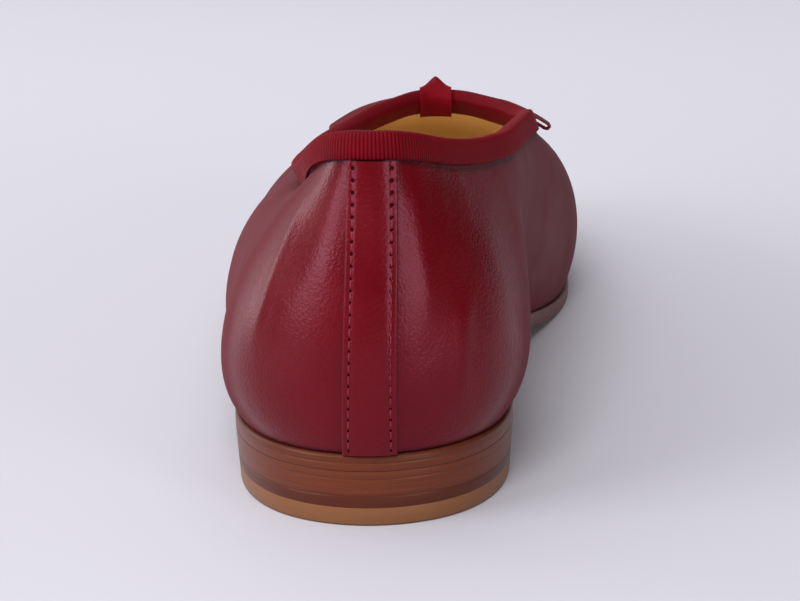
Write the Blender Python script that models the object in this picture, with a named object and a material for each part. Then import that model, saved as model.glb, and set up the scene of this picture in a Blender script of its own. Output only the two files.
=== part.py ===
"""A woman's left ballet flat: lasted leather upper, ribbon-bound collar, flat bow, back strap and stacked heel.

Lengths are in metres. The shoe is drawn with x = 0 on the heel's axis and +X towards the inner side of the
foot, y = 0 at the back of the feather line (where upper and sole meet) and +Y towards the toe, and z = 0 on
the floor. A parent empty then carries the whole shoe so that its box is centred over the origin.
"""

from typing import NamedTuple

import bmesh
import bpy
import numpy as np
from mathutils import Vector
from mathutils.bvhtree import BVHTree

# The last: the feather line, the widths of heel and ball, and the collar cut into the upper
FEATHER_LENGTH = 0.243
HEEL_WIDTH = 0.052
BALL_WIDTH = 0.0755
COLLAR_SETBACK = 0.0045
COLLAR_LENGTH = 0.170
COLLAR_WIDTH = 0.046
BACK_HEIGHT = 0.0598
INSTEP_HEIGHT = 0.0438

# The upper's leather and lining together, and the gap that every two pieces keep
WALL = 0.0014
GAP = 0.0003

# The sole, from the floor up: worn piece, dark lift, main lift, outsole
TOP_PIECE_THICKNESS = 0.0034
DARK_LIFT_THICKNESS = 0.0022
MAIN_LIFT_THICKNESS = 0.0043
SOLE_THICKNESS = 0.0031
SOLE_MARGIN = 0.0007
SOLE_EDGE_ROUND = 0.0005
INSOLE_THICKNESS = 0.0020
HEEL_LENGTH = 0.052
HEEL_TAPER = 0.0008
SEAT_LENGTH = 0.072
TREAD_START = 0.160
TREAD_END = 0.190
TOE_SPRING = 0.0050

# The strap up the middle of the back
STRAP_FOOT_WIDTH = 0.0104
STRAP_HEAD_WIDTH = 0.0096
STRAP_THICKNESS = 0.0009

# The ribbon folded over the collar's edge
BINDING_HEIGHT = 0.0053
BINDING_THICKNESS = 0.0006

# The bow: two flat loops of ribbon and the knot that hooks them over the binding
BOW_SPAN = 0.049
BOW_SETBACK = 0.0010
BOW_WIDTH = 0.0080
BOW_WAIST = 0.0050
LOOP_HEIGHT = 0.0012
LOOP_FLARE = 0.6
INNER_SAG = -0.0010
OUTER_SAG = 0.0008
BOW_THICKNESS = 0.0005
INNER_SWEEP = 0.0020
OUTER_SWEEP = -0.0050
KNOT_WIDTH = 0.0074
KNOT_HEIGHT = 0.0043
KNOT_THICKNESS = 0.0012

# Facets: places round the shoe, rows up the wall, places round the heel and along a loop
AROUND = 88
WALL_ROWS = 10
HEEL_PLACES = 13
LOOP_PLACES = 12
LOOP_TURN_PLACES = 5


class Section(NamedTuple):
    """One section of the last: a place on the feather line on either side, and the collar's edge above it."""

    along: float  # feather line, share of FEATHER_LENGTH from the heel
    inner: float  # its distance from the axis, share of the width there
    outer: float
    collar_along: float  # collar, share of COLLAR_LENGTH from its back
    collar_inner: float  # its distance from the axis, share of COLLAR_WIDTH
    collar_outer: float
    height_inner: float  # its height over the sole, share of the height there
    height_outer: float


class Wall(NamedTuple):
    """One side's wall at a section: a curve from the feather line up to the lip that the binding covers."""

    swell: float  # curve's start, out from the feather line, share of the straight way to the lip's foot
    rise: float  # curve's start, up
    reach: float  # curve's end, out from the lip's foot
    drop: float  # curve's end, down
    lean: float  # lip's foot, out from the collar, share of its height


SECTIONS = [
    Section(0.000, 0.000, 0.000, 0.000, 0.026, -0.026, 1.000, 1.000),
    Section(0.025, 0.298, 0.298, 0.021, 0.178, 0.122, 0.984, 0.986),
    Section(0.062, 0.423, 0.423, 0.068, 0.278, 0.200, 0.945, 0.941),
    Section(0.123, 0.500, 0.500, 0.156, 0.400, 0.261, 0.897, 0.858),
    Section(0.206, 0.500, 0.510, 0.274, 0.513, 0.315, 0.866, 0.775),
    Section(0.309, 0.463, 0.530, 0.409, 0.593, 0.360, 0.850, 0.729),
    Section(0.412, 0.446, 0.498, 0.544, 0.643, 0.345, 0.882, 0.757),
    Section(0.514, 0.478, 0.464, 0.674, 0.687, 0.300, 0.950, 0.837),
    Section(0.617, 0.531, 0.436, 0.779, 0.702, 0.226, 0.986, 0.905),
    Section(0.691, 0.555, 0.420, 0.850, 0.674, 0.148, 0.986, 0.944),
    Section(0.761, 0.548, 0.396, 0.903, 0.617, 0.057, 0.995, 0.974),
    Section(0.844, 0.500, 0.324, 0.947, 0.530, -0.039, 0.995, 0.988),
    Section(0.926, 0.404, 0.192, 0.979, 0.424, -0.135, 1.000, 1.000),
    Section(0.979, 0.291, 0.013, 0.996, 0.339, -0.196, 1.000, 1.000),
    Section(1.000, 0.152, -0.152, 1.000, 0.259, -0.259, 1.000, 1.000),
]

INNER_WALL = [
    Wall(0.13, 0.32, 0.05, 0.30, 0.10),
    Wall(0.15, 0.30, 0.07, 0.29, 0.11),
    Wall(0.19, 0.27, 0.10, 0.27, 0.13),
    Wall(0.21, 0.25, 0.13, 0.25, 0.16),
    Wall(0.18, 0.25, 0.13, 0.23, 0.20),
    Wall(0.12, 0.26, 0.10, 0.24, 0.22),
    Wall(0.10, 0.27, 0.09, 0.25, 0.24),
    Wall(0.10, 0.27, 0.12, 0.23, 0.30),
    Wall(0.12, 0.27, 0.18, 0.20, 0.38),
    Wall(0.13, 0.27, 0.24, 0.18, 0.48),
    Wall(0.13, 0.27, 0.29, 0.17, 0.60),
    Wall(0.12, 0.27, 0.34, 0.15, 0.74),
    Wall(0.10, 0.27, 0.38, 0.13, 0.87),
    Wall(0.08, 0.27, 0.40, 0.13, 0.96),
    Wall(0.07, 0.27, 0.40, 0.13, 1.00),
]

OUTER_WALL = [
    Wall(0.13, 0.32, 0.05, 0.30, 0.10),
    Wall(0.15, 0.30, 0.08, 0.28, 0.08),
    Wall(0.19, 0.26, 0.15, 0.22, 0.02),
    Wall(0.20, 0.23, 0.23, 0.13, -0.15),
    Wall(0.19, 0.21, 0.30, 0.04, -0.40),
    Wall(0.17, 0.21, 0.33, 0.00, -0.58),
    Wall(0.17, 0.23, 0.34, 0.03, -0.48),
    Wall(0.17, 0.25, 0.33, 0.08, -0.10),
    Wall(0.16, 0.27, 0.31, 0.13, 0.25),
    Wall(0.15, 0.27, 0.30, 0.15, 0.50),
    Wall(0.14, 0.27, 0.35, 0.15, 0.70),
    Wall(0.12, 0.27, 0.37, 0.14, 0.82),
    Wall(0.10, 0.27, 0.39, 0.13, 0.91),
    Wall(0.08, 0.27, 0.40, 0.13, 0.97),
    Wall(0.07, 0.27, 0.40, 0.13, 1.00),
]

# Where along the feather line the width and the collar's height go from the heel's to the ball's
WIDTH_BLEND = (0.20, 0.68)
HEIGHT_BLEND = (0.00, 0.72)

LEATHER = (0.150, 0.006, 0.012)
RIBBON = (0.120, 0.004, 0.010)
OCHRE = (0.360, 0.170, 0.045)
STACKED = (0.150, 0.042, 0.020)
DARK_STACKED = (0.090, 0.026, 0.018)
TAN = (0.270, 0.105, 0.048)


def smooth(share):
    """Eases from 0 to 1 with level ends."""
    share = np.clip(share, 0, 1)
    return share * share * (3 - 2 * share)


def blended(low, high, share, ends):
    """A size that goes from low to high between two places along the shoe."""
    return low + (high - low) * smooth((share - ends[0]) / (ends[1] - ends[0]))


def sole_under(y):
    """Height of the outsole's underside: level seat, arch, level tread and toe spring."""
    y = np.asarray(y, float)
    seat = TOP_PIECE_THICKNESS + DARK_LIFT_THICKNESS + MAIN_LIFT_THICKNESS + 3 * GAP
    arch = seat * (1 - smooth((y - SEAT_LENGTH) / (TREAD_START - SEAT_LENGTH)))
    toe = np.clip((y - TREAD_END) / (FEATHER_LENGTH - TREAD_END), 0, None)
    return arch + TOE_SPRING * toe**2


def sole_top(y):
    """Height of the outsole's upper face."""
    return sole_under(y) + SOLE_THICKNESS


def closed_spline(knots, values, period, at):
    """Reads a periodic cubic spline through the rows of values, whose knots lie within one period."""
    gaps = np.diff(np.append(knots, knots[0] + period))
    before = np.roll(gaps, 1)
    slopes = (np.roll(values, -1, axis=0) - values) / gaps[:, None]
    bends = np.diag(2 * (before + gaps)) + np.roll(np.diag(gaps), 1, axis=1) + np.roll(np.diag(before), -1, axis=1)
    curve = np.linalg.solve(bends, 6 * (slopes - np.roll(slopes, 1, axis=0)))
    at = np.mod(at, period)
    i = np.searchsorted(knots, at, side="right") - 1
    j = (i + 1) % len(knots)
    ahead = ((knots[i] + gaps[i]) - at)[:, None]
    behind = (at - knots[i])[:, None]
    gap = gaps[i][:, None]
    straight = (values[i] * ahead + values[j] * behind) / gap
    bent = curve[i] * (ahead**3 / gap - ahead * gap) + curve[j] * (behind**3 / gap - behind * gap)
    return straight + bent / 6


def round_the_shoe():
    """Knots and values of the spline that runs from the heel, up the inner side and back down the outer one."""
    sides = []
    for side, walls in ((1, INNER_WALL), (-1, OUTER_WALL)):
        rows = []
        for section, wall in zip(SECTIONS, walls):
            out, collar_out, height = (
                (section.inner, section.collar_inner, section.height_inner)
                if side > 0
                else (-section.outer, -section.collar_outer, section.height_outer)
            )
            x = out * blended(HEEL_WIDTH, BALL_WIDTH, section.along, WIDTH_BLEND)
            y = section.along * FEATHER_LENGTH
            collar_x = collar_out * COLLAR_WIDTH
            collar_y = COLLAR_SETBACK + section.collar_along * COLLAR_LENGTH
            height *= blended(BACK_HEIGHT, INSTEP_HEIGHT, collar_y / FEATHER_LENGTH, HEIGHT_BLEND)
            rows.append((x, y, collar_x, collar_y, height, *wall))
        sides.append(np.array(rows))
    inner, outer = sides
    steps = np.linalg.norm(np.diff(inner[:, :2], axis=0), axis=1)
    steps = (steps + np.linalg.norm(np.diff(outer[:, :2], axis=0), axis=1)) / 2
    up = np.concatenate([[0], np.cumsum(steps)]) / steps.sum() / 2
    return np.concatenate([up, 1 - up[-2:0:-1]]), np.concatenate([inner, outer[-2:0:-1]])


KNOTS, VALUES = round_the_shoe()
STEP = 1e-4
UP = np.array([0, 0, 1])


def plan_normals(ahead, behind):
    """Unit vectors that point out of a closed line which runs from the heel up its +X side."""
    run = ahead - behind
    out = np.stack([run[:, 1], -run[:, 0], np.zeros(len(run))], axis=1)
    return out / np.linalg.norm(out, axis=1)[:, None]


def wall_frame(u):
    """Each place's five points: the curve's four from the feather line to the lip's foot, and the collar."""
    here, ahead, behind = (closed_spline(KNOTS, VALUES, 1.0, u + d) for d in (0, STEP, -STEP))
    feather = np.stack([here[:, 0], here[:, 1], sole_top(here[:, 1]) + GAP], axis=1)
    collar = np.stack([here[:, 2], here[:, 3], sole_top(here[:, 3]) + GAP + here[:, 4]], axis=1)
    outward = plan_normals(ahead[:, 2:4], behind[:, 2:4])
    lip = outward * here[:, 9:10] - UP
    foot = collar + lip * (BINDING_HEIGHT / np.linalg.norm(lip, axis=1))[:, None]
    way = np.linalg.norm(foot - feather, axis=1)[:, None]
    swell, rise, reach, drop = (here[:, k : k + 1] * way for k in (5, 6, 7, 8))
    low = feather + plan_normals(ahead[:, 0:2], behind[:, 0:2]) * swell + UP * rise
    high = foot + outward * reach - UP * drop
    return np.stack([feather, low, high, foot, collar], axis=1)


def up_the_wall(frame, v):
    """Points at share v of each place's curve, and up the straight lip where v goes from 1 to 2."""
    on_curve = np.minimum(v, 1)[:, None]
    rest = 1 - on_curve
    point = (
        frame[:, 0] * rest**3
        + frame[:, 1] * 3 * on_curve * rest**2
        + frame[:, 2] * 3 * on_curve**2 * rest
        + frame[:, 3] * on_curve**3
    )
    return point + (frame[:, 4] - frame[:, 3]) * np.maximum(v - 1, 0)[:, None]


def skin(u, v, offset=0.0):
    """Points on the upper's outer face, or that far outside it. The wall stands square on the sole."""
    u, v, offset = np.broadcast_arrays(*(np.asarray(a, float) for a in (u, v, offset)))
    here = wall_frame(u)
    across = up_the_wall(wall_frame(u + STEP), v) - up_the_wall(wall_frame(u - STEP), v)
    upward = up_the_wall(here, v + STEP) - up_the_wall(here, np.maximum(v - STEP, 0))
    normal = np.cross(across, upward)
    normal[:, 2] *= smooth(v / 0.15)
    normal /= np.linalg.norm(normal, axis=1)[:, None]
    return up_the_wall(here, v) + normal * offset[:, None]


def below_collar(u, distance):
    """The share v at which each place's wall is that far below the collar's edge, along the leather."""
    if distance <= BINDING_HEIGHT:
        return np.full(len(u), 2 - distance / BINDING_HEIGHT)
    shares = np.linspace(1, 0, 81)
    frame = wall_frame(u)
    points = np.stack([up_the_wall(frame, np.full(len(u), s)) for s in shares], axis=1)
    runs = np.cumsum(np.linalg.norm(np.diff(points, axis=1), axis=2), axis=1)
    lengths = np.concatenate([np.zeros((len(u), 1)), runs], axis=1)
    return np.array([np.interp(distance - BINDING_HEIGHT, row, shares) for row in lengths])


def at_collar(u, distance, offset):
    """Points given by their distance below the collar's edge and their offset from the leather's outer face."""
    return skin(u, below_collar(u, distance), offset)


def finish(name, colour, roughness, metallic=0.0):
    """A material with the piece's own colour and gloss."""
    material = bpy.data.materials.new(name)
    material.use_nodes = True
    shader = material.node_tree.nodes["Principled BSDF"]
    shader.inputs["Base Color"].default_value = (*colour, 1)
    shader.inputs["Roughness"].default_value = roughness
    shader.inputs["Metallic"].default_value = metallic
    return material


def solid(name, points, faces, material, parent):
    """A named object from points and faces, shaded smooth except at its sharp edges."""
    mesh = bpy.data.meshes.new(name)
    mesh.from_pydata([tuple(map(float, p)) for p in points], [], faces)
    shell = bmesh.new()
    shell.from_mesh(mesh)
    bmesh.ops.recalc_face_normals(shell, faces=shell.faces)
    shell.to_mesh(mesh)
    shell.free()
    mesh.materials.append(material)
    mesh.shade_smooth()
    mesh.set_sharp_from_angle(angle=np.radians(40))
    obj = bpy.data.objects.new(name, mesh)
    obj.parent = parent
    bpy.context.scene.collection.objects.link(obj)
    return obj


def ribs(sections, closed):
    """Faces between consecutive sections, each a ring of points listed anticlockwise as seen from the one before."""
    count, ring = len(sections), len(sections[0])
    faces = []
    for s in range(count if closed else count - 1):
        here, there = s * ring, (s + 1) % count * ring
        for k in range(ring):
            after = (k + 1) % ring
            faces.append((here + k, there + k, there + after, here + after))
    return faces


def swept(name, sections, material, parent, closed=False):
    """A solid through sections along a line that closes on itself, or with its two ends capped."""
    ring = len(sections[0])
    faces = ribs(sections, closed)
    if not closed:
        last = (len(sections) - 1) * ring
        faces.append(tuple(range(ring)))
        faces.append(tuple(last + k for k in reversed(range(ring))))
    return solid(name, np.concatenate(sections), faces, material, parent)


def plate(name, rings, material, parent):
    """A solid of rings from bottom to top, each from the heel up the inner side and back down the outer one."""
    ring, top = len(rings[0]), (len(rings) - 1) * len(rings[0])
    faces = [tuple(reversed(face)) for face in ribs(rings, closed=False)]
    for k in range(ring // 2):
        a, b, c, d = k, k + 1, (ring - k - 1) % ring, (ring - k) % ring
        across = [a, b, c, d] if k else [a, b, c]
        across = across if b != c else [a, b, d]
        faces.append(tuple(reversed(across)))
        faces.append(tuple(top + p for p in across))
    return solid(name, np.concatenate(rings), faces, material, parent)


def places():
    """Even places round the shoe, the first at the heel's back."""
    return np.arange(AROUND) / AROUND


def make_upper(material, parent):
    """The hollow upper: one wall from the feather line to just under the binding's fold, open above and below."""
    u = places()
    top = 2 - (BINDING_THICKNESS + GAP) / BINDING_HEIGHT
    rows = [*np.linspace(0, 1, WALL_ROWS), (1 + top) / 2, top]
    outer = [skin(u, v) for v in rows]
    inner = [skin(u, v, -WALL) for v in rows]
    for face in (outer[0], inner[0]):
        face[:, 2] = sole_top(face[:, 1]) + GAP
    return swept("upper", list(np.stack(inner[::-1] + outer, axis=1)), material, parent, closed=True)


def make_binding(material, parent):
    """The collar ribbon: a fold over the wall's top edge, with a leg down each face of it."""
    u = places()
    outside = GAP + BINDING_THICKNESS
    inside = -(WALL + GAP + BINDING_THICKNESS)
    shoulder = BINDING_THICKNESS
    profile = [
        (BINDING_HEIGHT, GAP),
        (BINDING_HEIGHT, outside),
        (BINDING_HEIGHT / 2, outside),
        (shoulder, outside),
        (0, (outside * 2 + inside) / 3),
        (0, (outside + inside * 2) / 3),
        (shoulder, inside),
        (BINDING_HEIGHT / 2, inside),
        (BINDING_HEIGHT, inside),
        (BINDING_HEIGHT, -WALL - GAP),
        (BINDING_HEIGHT / 2, -WALL - GAP),
        (shoulder, -WALL - GAP),
        (shoulder, GAP),
        (BINDING_HEIGHT / 2, GAP),
    ]
    rings = [at_collar(u, distance, offset) for distance, offset in profile[::-1]]
    return swept("collar_binding", list(np.stack(rings, axis=1)), material, parent, closed=True)


def make_strap(material, parent):
    """The strap that covers the back seam, from the sole to the binding."""
    fine = np.linspace(-0.06, 0.06, 121)
    head = below_collar(np.zeros(1), BINDING_HEIGHT + GAP)[0]
    sections = []
    for share in np.linspace(0, 1, WALL_ROWS):
        front = skin(fine, head * share, GAP + STRAP_THICKNESS)[:, 0]
        width = STRAP_FOOT_WIDTH + (STRAP_HEAD_WIDTH - STRAP_FOOT_WIDTH) * share
        u = np.interp(front[60] + np.linspace(-0.5, 0.5, 5) * width, front, fine)
        rows = [skin(u, head * share, offset) for offset in (GAP + STRAP_THICKNESS, GAP)]
        if share == 0:
            for row in rows:
                row[:, 2] = sole_top(np.maximum(row[:, 1], 0)) + GAP
        sections.append(np.concatenate([rows[0], rows[1][::-1]]))
    return swept("back_strap", sections, material, parent)


def plan_ring(offset):
    """The feather line moved out by an offset, as a flat ring."""
    u = places()
    here, ahead, behind = (closed_spline(KNOTS, VALUES, 1.0, u + d)[:, :2] for d in (0, STEP, -STEP))
    return here + plan_normals(ahead, behind)[:, :2] * offset


def raised(ring, height):
    """A flat ring lifted to a height that depends on its place along the shoe."""
    return np.column_stack([ring, height(ring[:, 1])])


def make_outsole(material, parent):
    """The full sole, from the heel's back to the toe, with its edges eased."""
    full, eased = plan_ring(SOLE_MARGIN), plan_ring(SOLE_MARGIN - SOLE_EDGE_ROUND)
    rings = [
        raised(eased, sole_under),
        np.column_stack([full, sole_under(eased[:, 1]) + SOLE_EDGE_ROUND]),
        np.column_stack([full, sole_top(eased[:, 1]) - SOLE_EDGE_ROUND]),
        raised(eased, sole_top),
    ]
    return plate("outsole", rings, material, parent)


def make_insole(material, parent):
    """The sock that lines the floor of the shoe, inside the wall."""
    ring = plan_ring(-(WALL + GAP))
    rings = [
        raised(ring, lambda y: sole_top(y) + GAP),
        raised(ring, lambda y: sole_top(y) + GAP + INSOLE_THICKNESS),
    ]
    return plate("insole", rings, material, parent)


def heel_ring(inset):
    """The heel's flat outline: the feather line round the seat, closed by the breast."""
    fine = np.linspace(0, 0.5, 401)
    breast = np.interp(HEEL_LENGTH, closed_spline(KNOTS, VALUES, 1.0, fine)[:, 1], fine)
    u = np.linspace(-breast, breast, 2 * HEEL_PLACES - 1)
    here, ahead, behind = (closed_spline(KNOTS, VALUES, 1.0, u + d)[:, :2] for d in (0, STEP, -STEP))
    line = here + plan_normals(ahead, behind)[:, :2] * (SOLE_MARGIN - inset)
    line[[0, -1], 1] = HEEL_LENGTH
    middle = line[[0, -1]].mean(axis=0, keepdims=True)
    inner, outer = line[HEEL_PLACES - 1 :], line[: HEEL_PLACES - 1]
    return np.concatenate([inner, middle, outer])


def make_heel(stacked, dark, tan, parent):
    """The stacked heel's three pieces, each narrower than the one above it."""
    seat = float(sole_under(0))
    levels = [
        ("heel_top_piece", 0, TOP_PIECE_THICKNESS, tan),
        ("heel_dark_lift", TOP_PIECE_THICKNESS + GAP, DARK_LIFT_THICKNESS, dark),
        ("heel_main_lift", TOP_PIECE_THICKNESS + DARK_LIFT_THICKNESS + 2 * GAP, MAIN_LIFT_THICKNESS, stacked),
    ]
    made = []
    for name, low, thickness, material in levels:
        high = low + thickness
        bottom, top = (heel_ring(HEEL_TAPER * (1 - z / seat)) for z in (low, high))
        heights = sole_under(top[:, 1]) - GAP if name == "heel_main_lift" else np.full(len(top), high)
        rings = [np.column_stack([bottom, np.full(len(bottom), low)]), np.column_stack([top, heights])]
        made.append(plate(name, rings, material, parent))
    return made


def throat():
    """The collar edge's foremost point: where the bow is tied."""
    return at_collar(np.array([0.5]), 0, 0)[0]


def make_loop(side, vamp, material, parent):
    """One hollow loop of the bow, level with the binding's face: out over the vamp, a turn, and back above."""
    middle = throat()
    start = KNOT_WIDTH / 2 + GAP
    radius = LOOP_HEIGHT / 2
    end = BOW_SPAN / 2 - radius
    floor = 2 * GAP + BINDING_THICKNESS + BOW_THICKNESS / 2
    out = np.linspace(start, end, LOOP_PLACES)
    turn = np.linspace(-np.pi / 2, np.pi / 2, LOOP_TURN_PLACES + 2)[1:-1]
    share = (out - start) / (end - start)
    above = 2 * radius * (0.75 + 0.25 * smooth(share * 1.6))
    sweep, sag = (INNER_SWEEP, INNER_SAG) if side > 0 else (OUTER_SWEEP, OUTER_SAG)
    line = np.concatenate(
        [
            np.column_stack([out, np.full(len(out), floor)]),
            np.column_stack([end + radius * np.cos(turn), floor + radius * (1 + np.sin(turn))]),
            np.column_stack([out, floor + above])[::-1],
        ]
    )
    run = np.roll(line, -1, axis=0) - np.roll(line, 1, axis=0)
    outward = np.column_stack([run[:, 1], -run[:, 0]]) / np.linalg.norm(run, axis=1)[:, None]
    across = np.linspace(-0.5, 0.5, 4)
    edges = [(1, a) for a in across] + [(-1, a) for a in across[::-1]]
    sections = []
    for (reach, height), way in zip(line, outward):
        gone = (reach - start) / (end - start)
        width = BOW_WAIST + (BOW_WIDTH - BOW_WAIST) * smooth(gone * 1.8)
        centre = middle[1] + BOW_SETBACK + BOW_WIDTH / 2 - sweep * gone**2
        corners = []
        for face, place in edges:
            s = reach + way[0] * face * BOW_THICKNESS / 2
            h = height + way[1] * face * BOW_THICKNESS / 2
            h = floor + (h - floor) * (1 + LOOP_FLARE * place) - sag * gone**2
            over = Vector((middle[0] + side * s, centre + place * width, middle[2] + BACK_HEIGHT))
            hit, normal, _, _ = vamp.ray_cast(over, Vector((0, 0, -1)))
            corners.append(np.array(hit + normal * h))
        sections.append(corners if side > 0 else corners[::-1])
    name = "bow_loop_inner" if side > 0 else "bow_loop_outer"
    return swept(name, [np.array(s) for s in sections], material, parent, closed=True)


def make_knot(material, parent):
    """The knot: a roll of ribbon, peaked in its middle, that hooks over the binding and down inside it."""
    outside = 2 * GAP + BINDING_THICKNESS
    inside = -(WALL + 2 * GAP + BINDING_THICKNESS)
    foot = BINDING_HEIGHT + 2 * GAP
    fine = np.linspace(0.46, 0.54, 161)
    sections = []
    for place in np.linspace(-1, 1, 7):
        full = 1 - float(smooth(abs(place) ** 0.8))
        thick = KNOT_THICKNESS * (0.4 + 0.6 * full)
        front = BOW_SETBACK + (BOW_WIDTH + BOW_WAIST) / 2 + GAP + thick
        crown = outside + BOW_THICKNESS + (KNOT_HEIGHT - BOW_THICKNESS) * full
        profile = [
            (front, GAP),
            (front, crown * 0.5),
            (front - thick, crown * 0.85),
            (front * 0.6, crown),
            (front * 0.3, crown),
            (0, crown * 0.75),
            (-GAP - BOW_THICKNESS, crown * 0.3),
            (-GAP - BOW_THICKNESS, -WALL),
            (0, inside - BOW_THICKNESS),
            (BINDING_HEIGHT, inside - BOW_THICKNESS),
            (BINDING_HEIGHT, inside),
            (GAP, inside),
            (-GAP, -WALL),
            (-GAP, 0),
            (GAP, outside),
            (foot, outside),
            (foot, GAP),
        ]
        x = throat()[0] + place * KNOT_WIDTH / 2
        section = []
        for distance, offset in profile:
            row = at_collar(fine, distance, offset)[::-1]
            section.append([x, *(np.interp(x, row[:, 0], row[:, k]) for k in (1, 2))])
        sections.append(np.array(section))
    return swept("bow_knot", sections, material, parent)


def centre_over_origin(parent, objects):
    """Moves the parent so that the shoe's box is centred over the origin and stands on the floor."""
    points = np.array([v.co for obj in objects for v in obj.data.vertices])
    low, high = points.min(axis=0), points.max(axis=0)
    parent.location = (-(low[0] + high[0]) / 2, -(low[1] + high[1]) / 2, -low[2])


def main():
    """Clears the scene and builds the shoe."""
    for old in list(bpy.data.objects):
        bpy.data.objects.remove(old)
    shoe = bpy.data.objects.new("ballet_flat", None)
    bpy.context.scene.collection.objects.link(shoe)
    leather = finish("burgundy_leather", LEATHER, 0.32)
    ribbon = finish("burgundy_ribbon", RIBBON, 0.65)
    upper = make_upper(leather, shoe)
    pieces = [upper, make_binding(ribbon, shoe), make_strap(leather, shoe)]
    pieces.append(make_outsole(finish("stacked_edge", STACKED, 0.45), shoe))
    pieces.append(make_insole(finish("ochre_sock", OCHRE, 0.6), shoe))
    stacked = finish("stacked_leather", STACKED, 0.4)
    dark = finish("dark_stacked_leather", DARK_STACKED, 0.4)
    pieces.extend(make_heel(stacked, dark, finish("tan_top_piece", TAN, 0.5), shoe))
    vamp = BVHTree.FromPolygons(
        [v.co for v in upper.data.vertices], [p.vertices for p in upper.data.polygons]
    )
    pieces.extend(make_loop(side, vamp, ribbon, shoe) for side in (1, -1))
    pieces.append(make_knot(ribbon, shoe))
    centre_over_origin(shoe, pieces)


main()
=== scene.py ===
"""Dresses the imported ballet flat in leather, ribbed ribbon, ochre lining, stitches and a stacked heel.

Sizes are in metres. The last is drawn with x = 0 on the heel's axis, y = 0 at the back of the feather
line (where upper and sole meet) and z = 0 on the floor. Every mesh is then moved to where the packed
sole stands.
"""

import logging
import math
from dataclasses import dataclass, field
from enum import Enum
from typing import NamedTuple, Sequence

import bmesh
import bpy
import numpy as np
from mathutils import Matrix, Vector
from mathutils.bvhtree import BVHTree


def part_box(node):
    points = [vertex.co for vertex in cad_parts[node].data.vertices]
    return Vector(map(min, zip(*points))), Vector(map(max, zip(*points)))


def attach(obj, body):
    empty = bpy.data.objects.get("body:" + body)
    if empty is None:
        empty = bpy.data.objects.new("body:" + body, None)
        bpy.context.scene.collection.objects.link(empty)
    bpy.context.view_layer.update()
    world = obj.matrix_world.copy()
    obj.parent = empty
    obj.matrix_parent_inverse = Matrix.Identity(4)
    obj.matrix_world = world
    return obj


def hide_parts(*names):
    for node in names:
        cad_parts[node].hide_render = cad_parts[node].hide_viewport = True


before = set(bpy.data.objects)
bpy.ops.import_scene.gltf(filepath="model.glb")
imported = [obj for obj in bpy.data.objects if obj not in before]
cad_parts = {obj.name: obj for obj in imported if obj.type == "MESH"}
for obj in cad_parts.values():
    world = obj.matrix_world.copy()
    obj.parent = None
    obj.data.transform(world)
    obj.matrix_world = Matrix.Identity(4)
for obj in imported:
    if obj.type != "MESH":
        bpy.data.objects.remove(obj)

LOG = logging.getLogger("ballet_flat")
Colour = tuple[float, float, float]
Socket = bpy.types.NodeSocket


class Section(NamedTuple):
    """One section of the last: a place on the feather line on either side, and the collar above it."""

    along: float
    inner: float
    outer: float
    collar_along: float
    collar_inner: float
    collar_outer: float
    height_inner: float
    height_outer: float


class Wall(NamedTuple):
    """One side's wall at a section: a curve from the feather line up to the lip that the binding covers."""

    swell: float
    rise: float
    reach: float
    drop: float
    lean: float


SECTIONS = (
    Section(0.000, 0.000, 0.000, 0.000, 0.026, -0.026, 1.000, 1.000),
    Section(0.025, 0.298, 0.298, 0.021, 0.178, 0.122, 0.984, 0.986),
    Section(0.062, 0.423, 0.423, 0.068, 0.278, 0.200, 0.945, 0.941),
    Section(0.123, 0.500, 0.500, 0.156, 0.400, 0.261, 0.897, 0.858),
    Section(0.206, 0.500, 0.510, 0.274, 0.513, 0.315, 0.866, 0.775),
    Section(0.309, 0.463, 0.530, 0.409, 0.593, 0.360, 0.850, 0.729),
    Section(0.412, 0.446, 0.498, 0.544, 0.643, 0.345, 0.882, 0.757),
    Section(0.514, 0.478, 0.464, 0.674, 0.687, 0.300, 0.950, 0.837),
    Section(0.617, 0.531, 0.436, 0.779, 0.702, 0.226, 0.986, 0.905),
    Section(0.691, 0.555, 0.420, 0.850, 0.674, 0.148, 0.986, 0.944),
    Section(0.761, 0.548, 0.396, 0.903, 0.617, 0.057, 0.995, 0.974),
    Section(0.844, 0.500, 0.324, 0.947, 0.530, -0.039, 0.995, 0.988),
    Section(0.926, 0.404, 0.192, 0.979, 0.424, -0.135, 1.000, 1.000),
    Section(0.979, 0.291, 0.013, 0.996, 0.339, -0.196, 1.000, 1.000),
    Section(1.000, 0.152, -0.152, 1.000, 0.259, -0.259, 1.000, 1.000),
)

INNER_WALL = (
    Wall(0.13, 0.32, 0.05, 0.30, 0.10),
    Wall(0.15, 0.30, 0.07, 0.29, 0.11),
    Wall(0.19, 0.27, 0.10, 0.27, 0.13),
    Wall(0.21, 0.25, 0.13, 0.25, 0.16),
    Wall(0.18, 0.25, 0.13, 0.23, 0.20),
    Wall(0.12, 0.26, 0.10, 0.24, 0.22),
    Wall(0.10, 0.27, 0.09, 0.25, 0.24),
    Wall(0.10, 0.27, 0.12, 0.23, 0.30),
    Wall(0.12, 0.27, 0.18, 0.20, 0.38),
    Wall(0.13, 0.27, 0.24, 0.18, 0.48),
    Wall(0.13, 0.27, 0.29, 0.17, 0.60),
    Wall(0.12, 0.27, 0.34, 0.15, 0.74),
    Wall(0.10, 0.27, 0.38, 0.13, 0.87),
    Wall(0.08, 0.27, 0.40, 0.13, 0.96),
    Wall(0.07, 0.27, 0.40, 0.13, 1.00),
)

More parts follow.
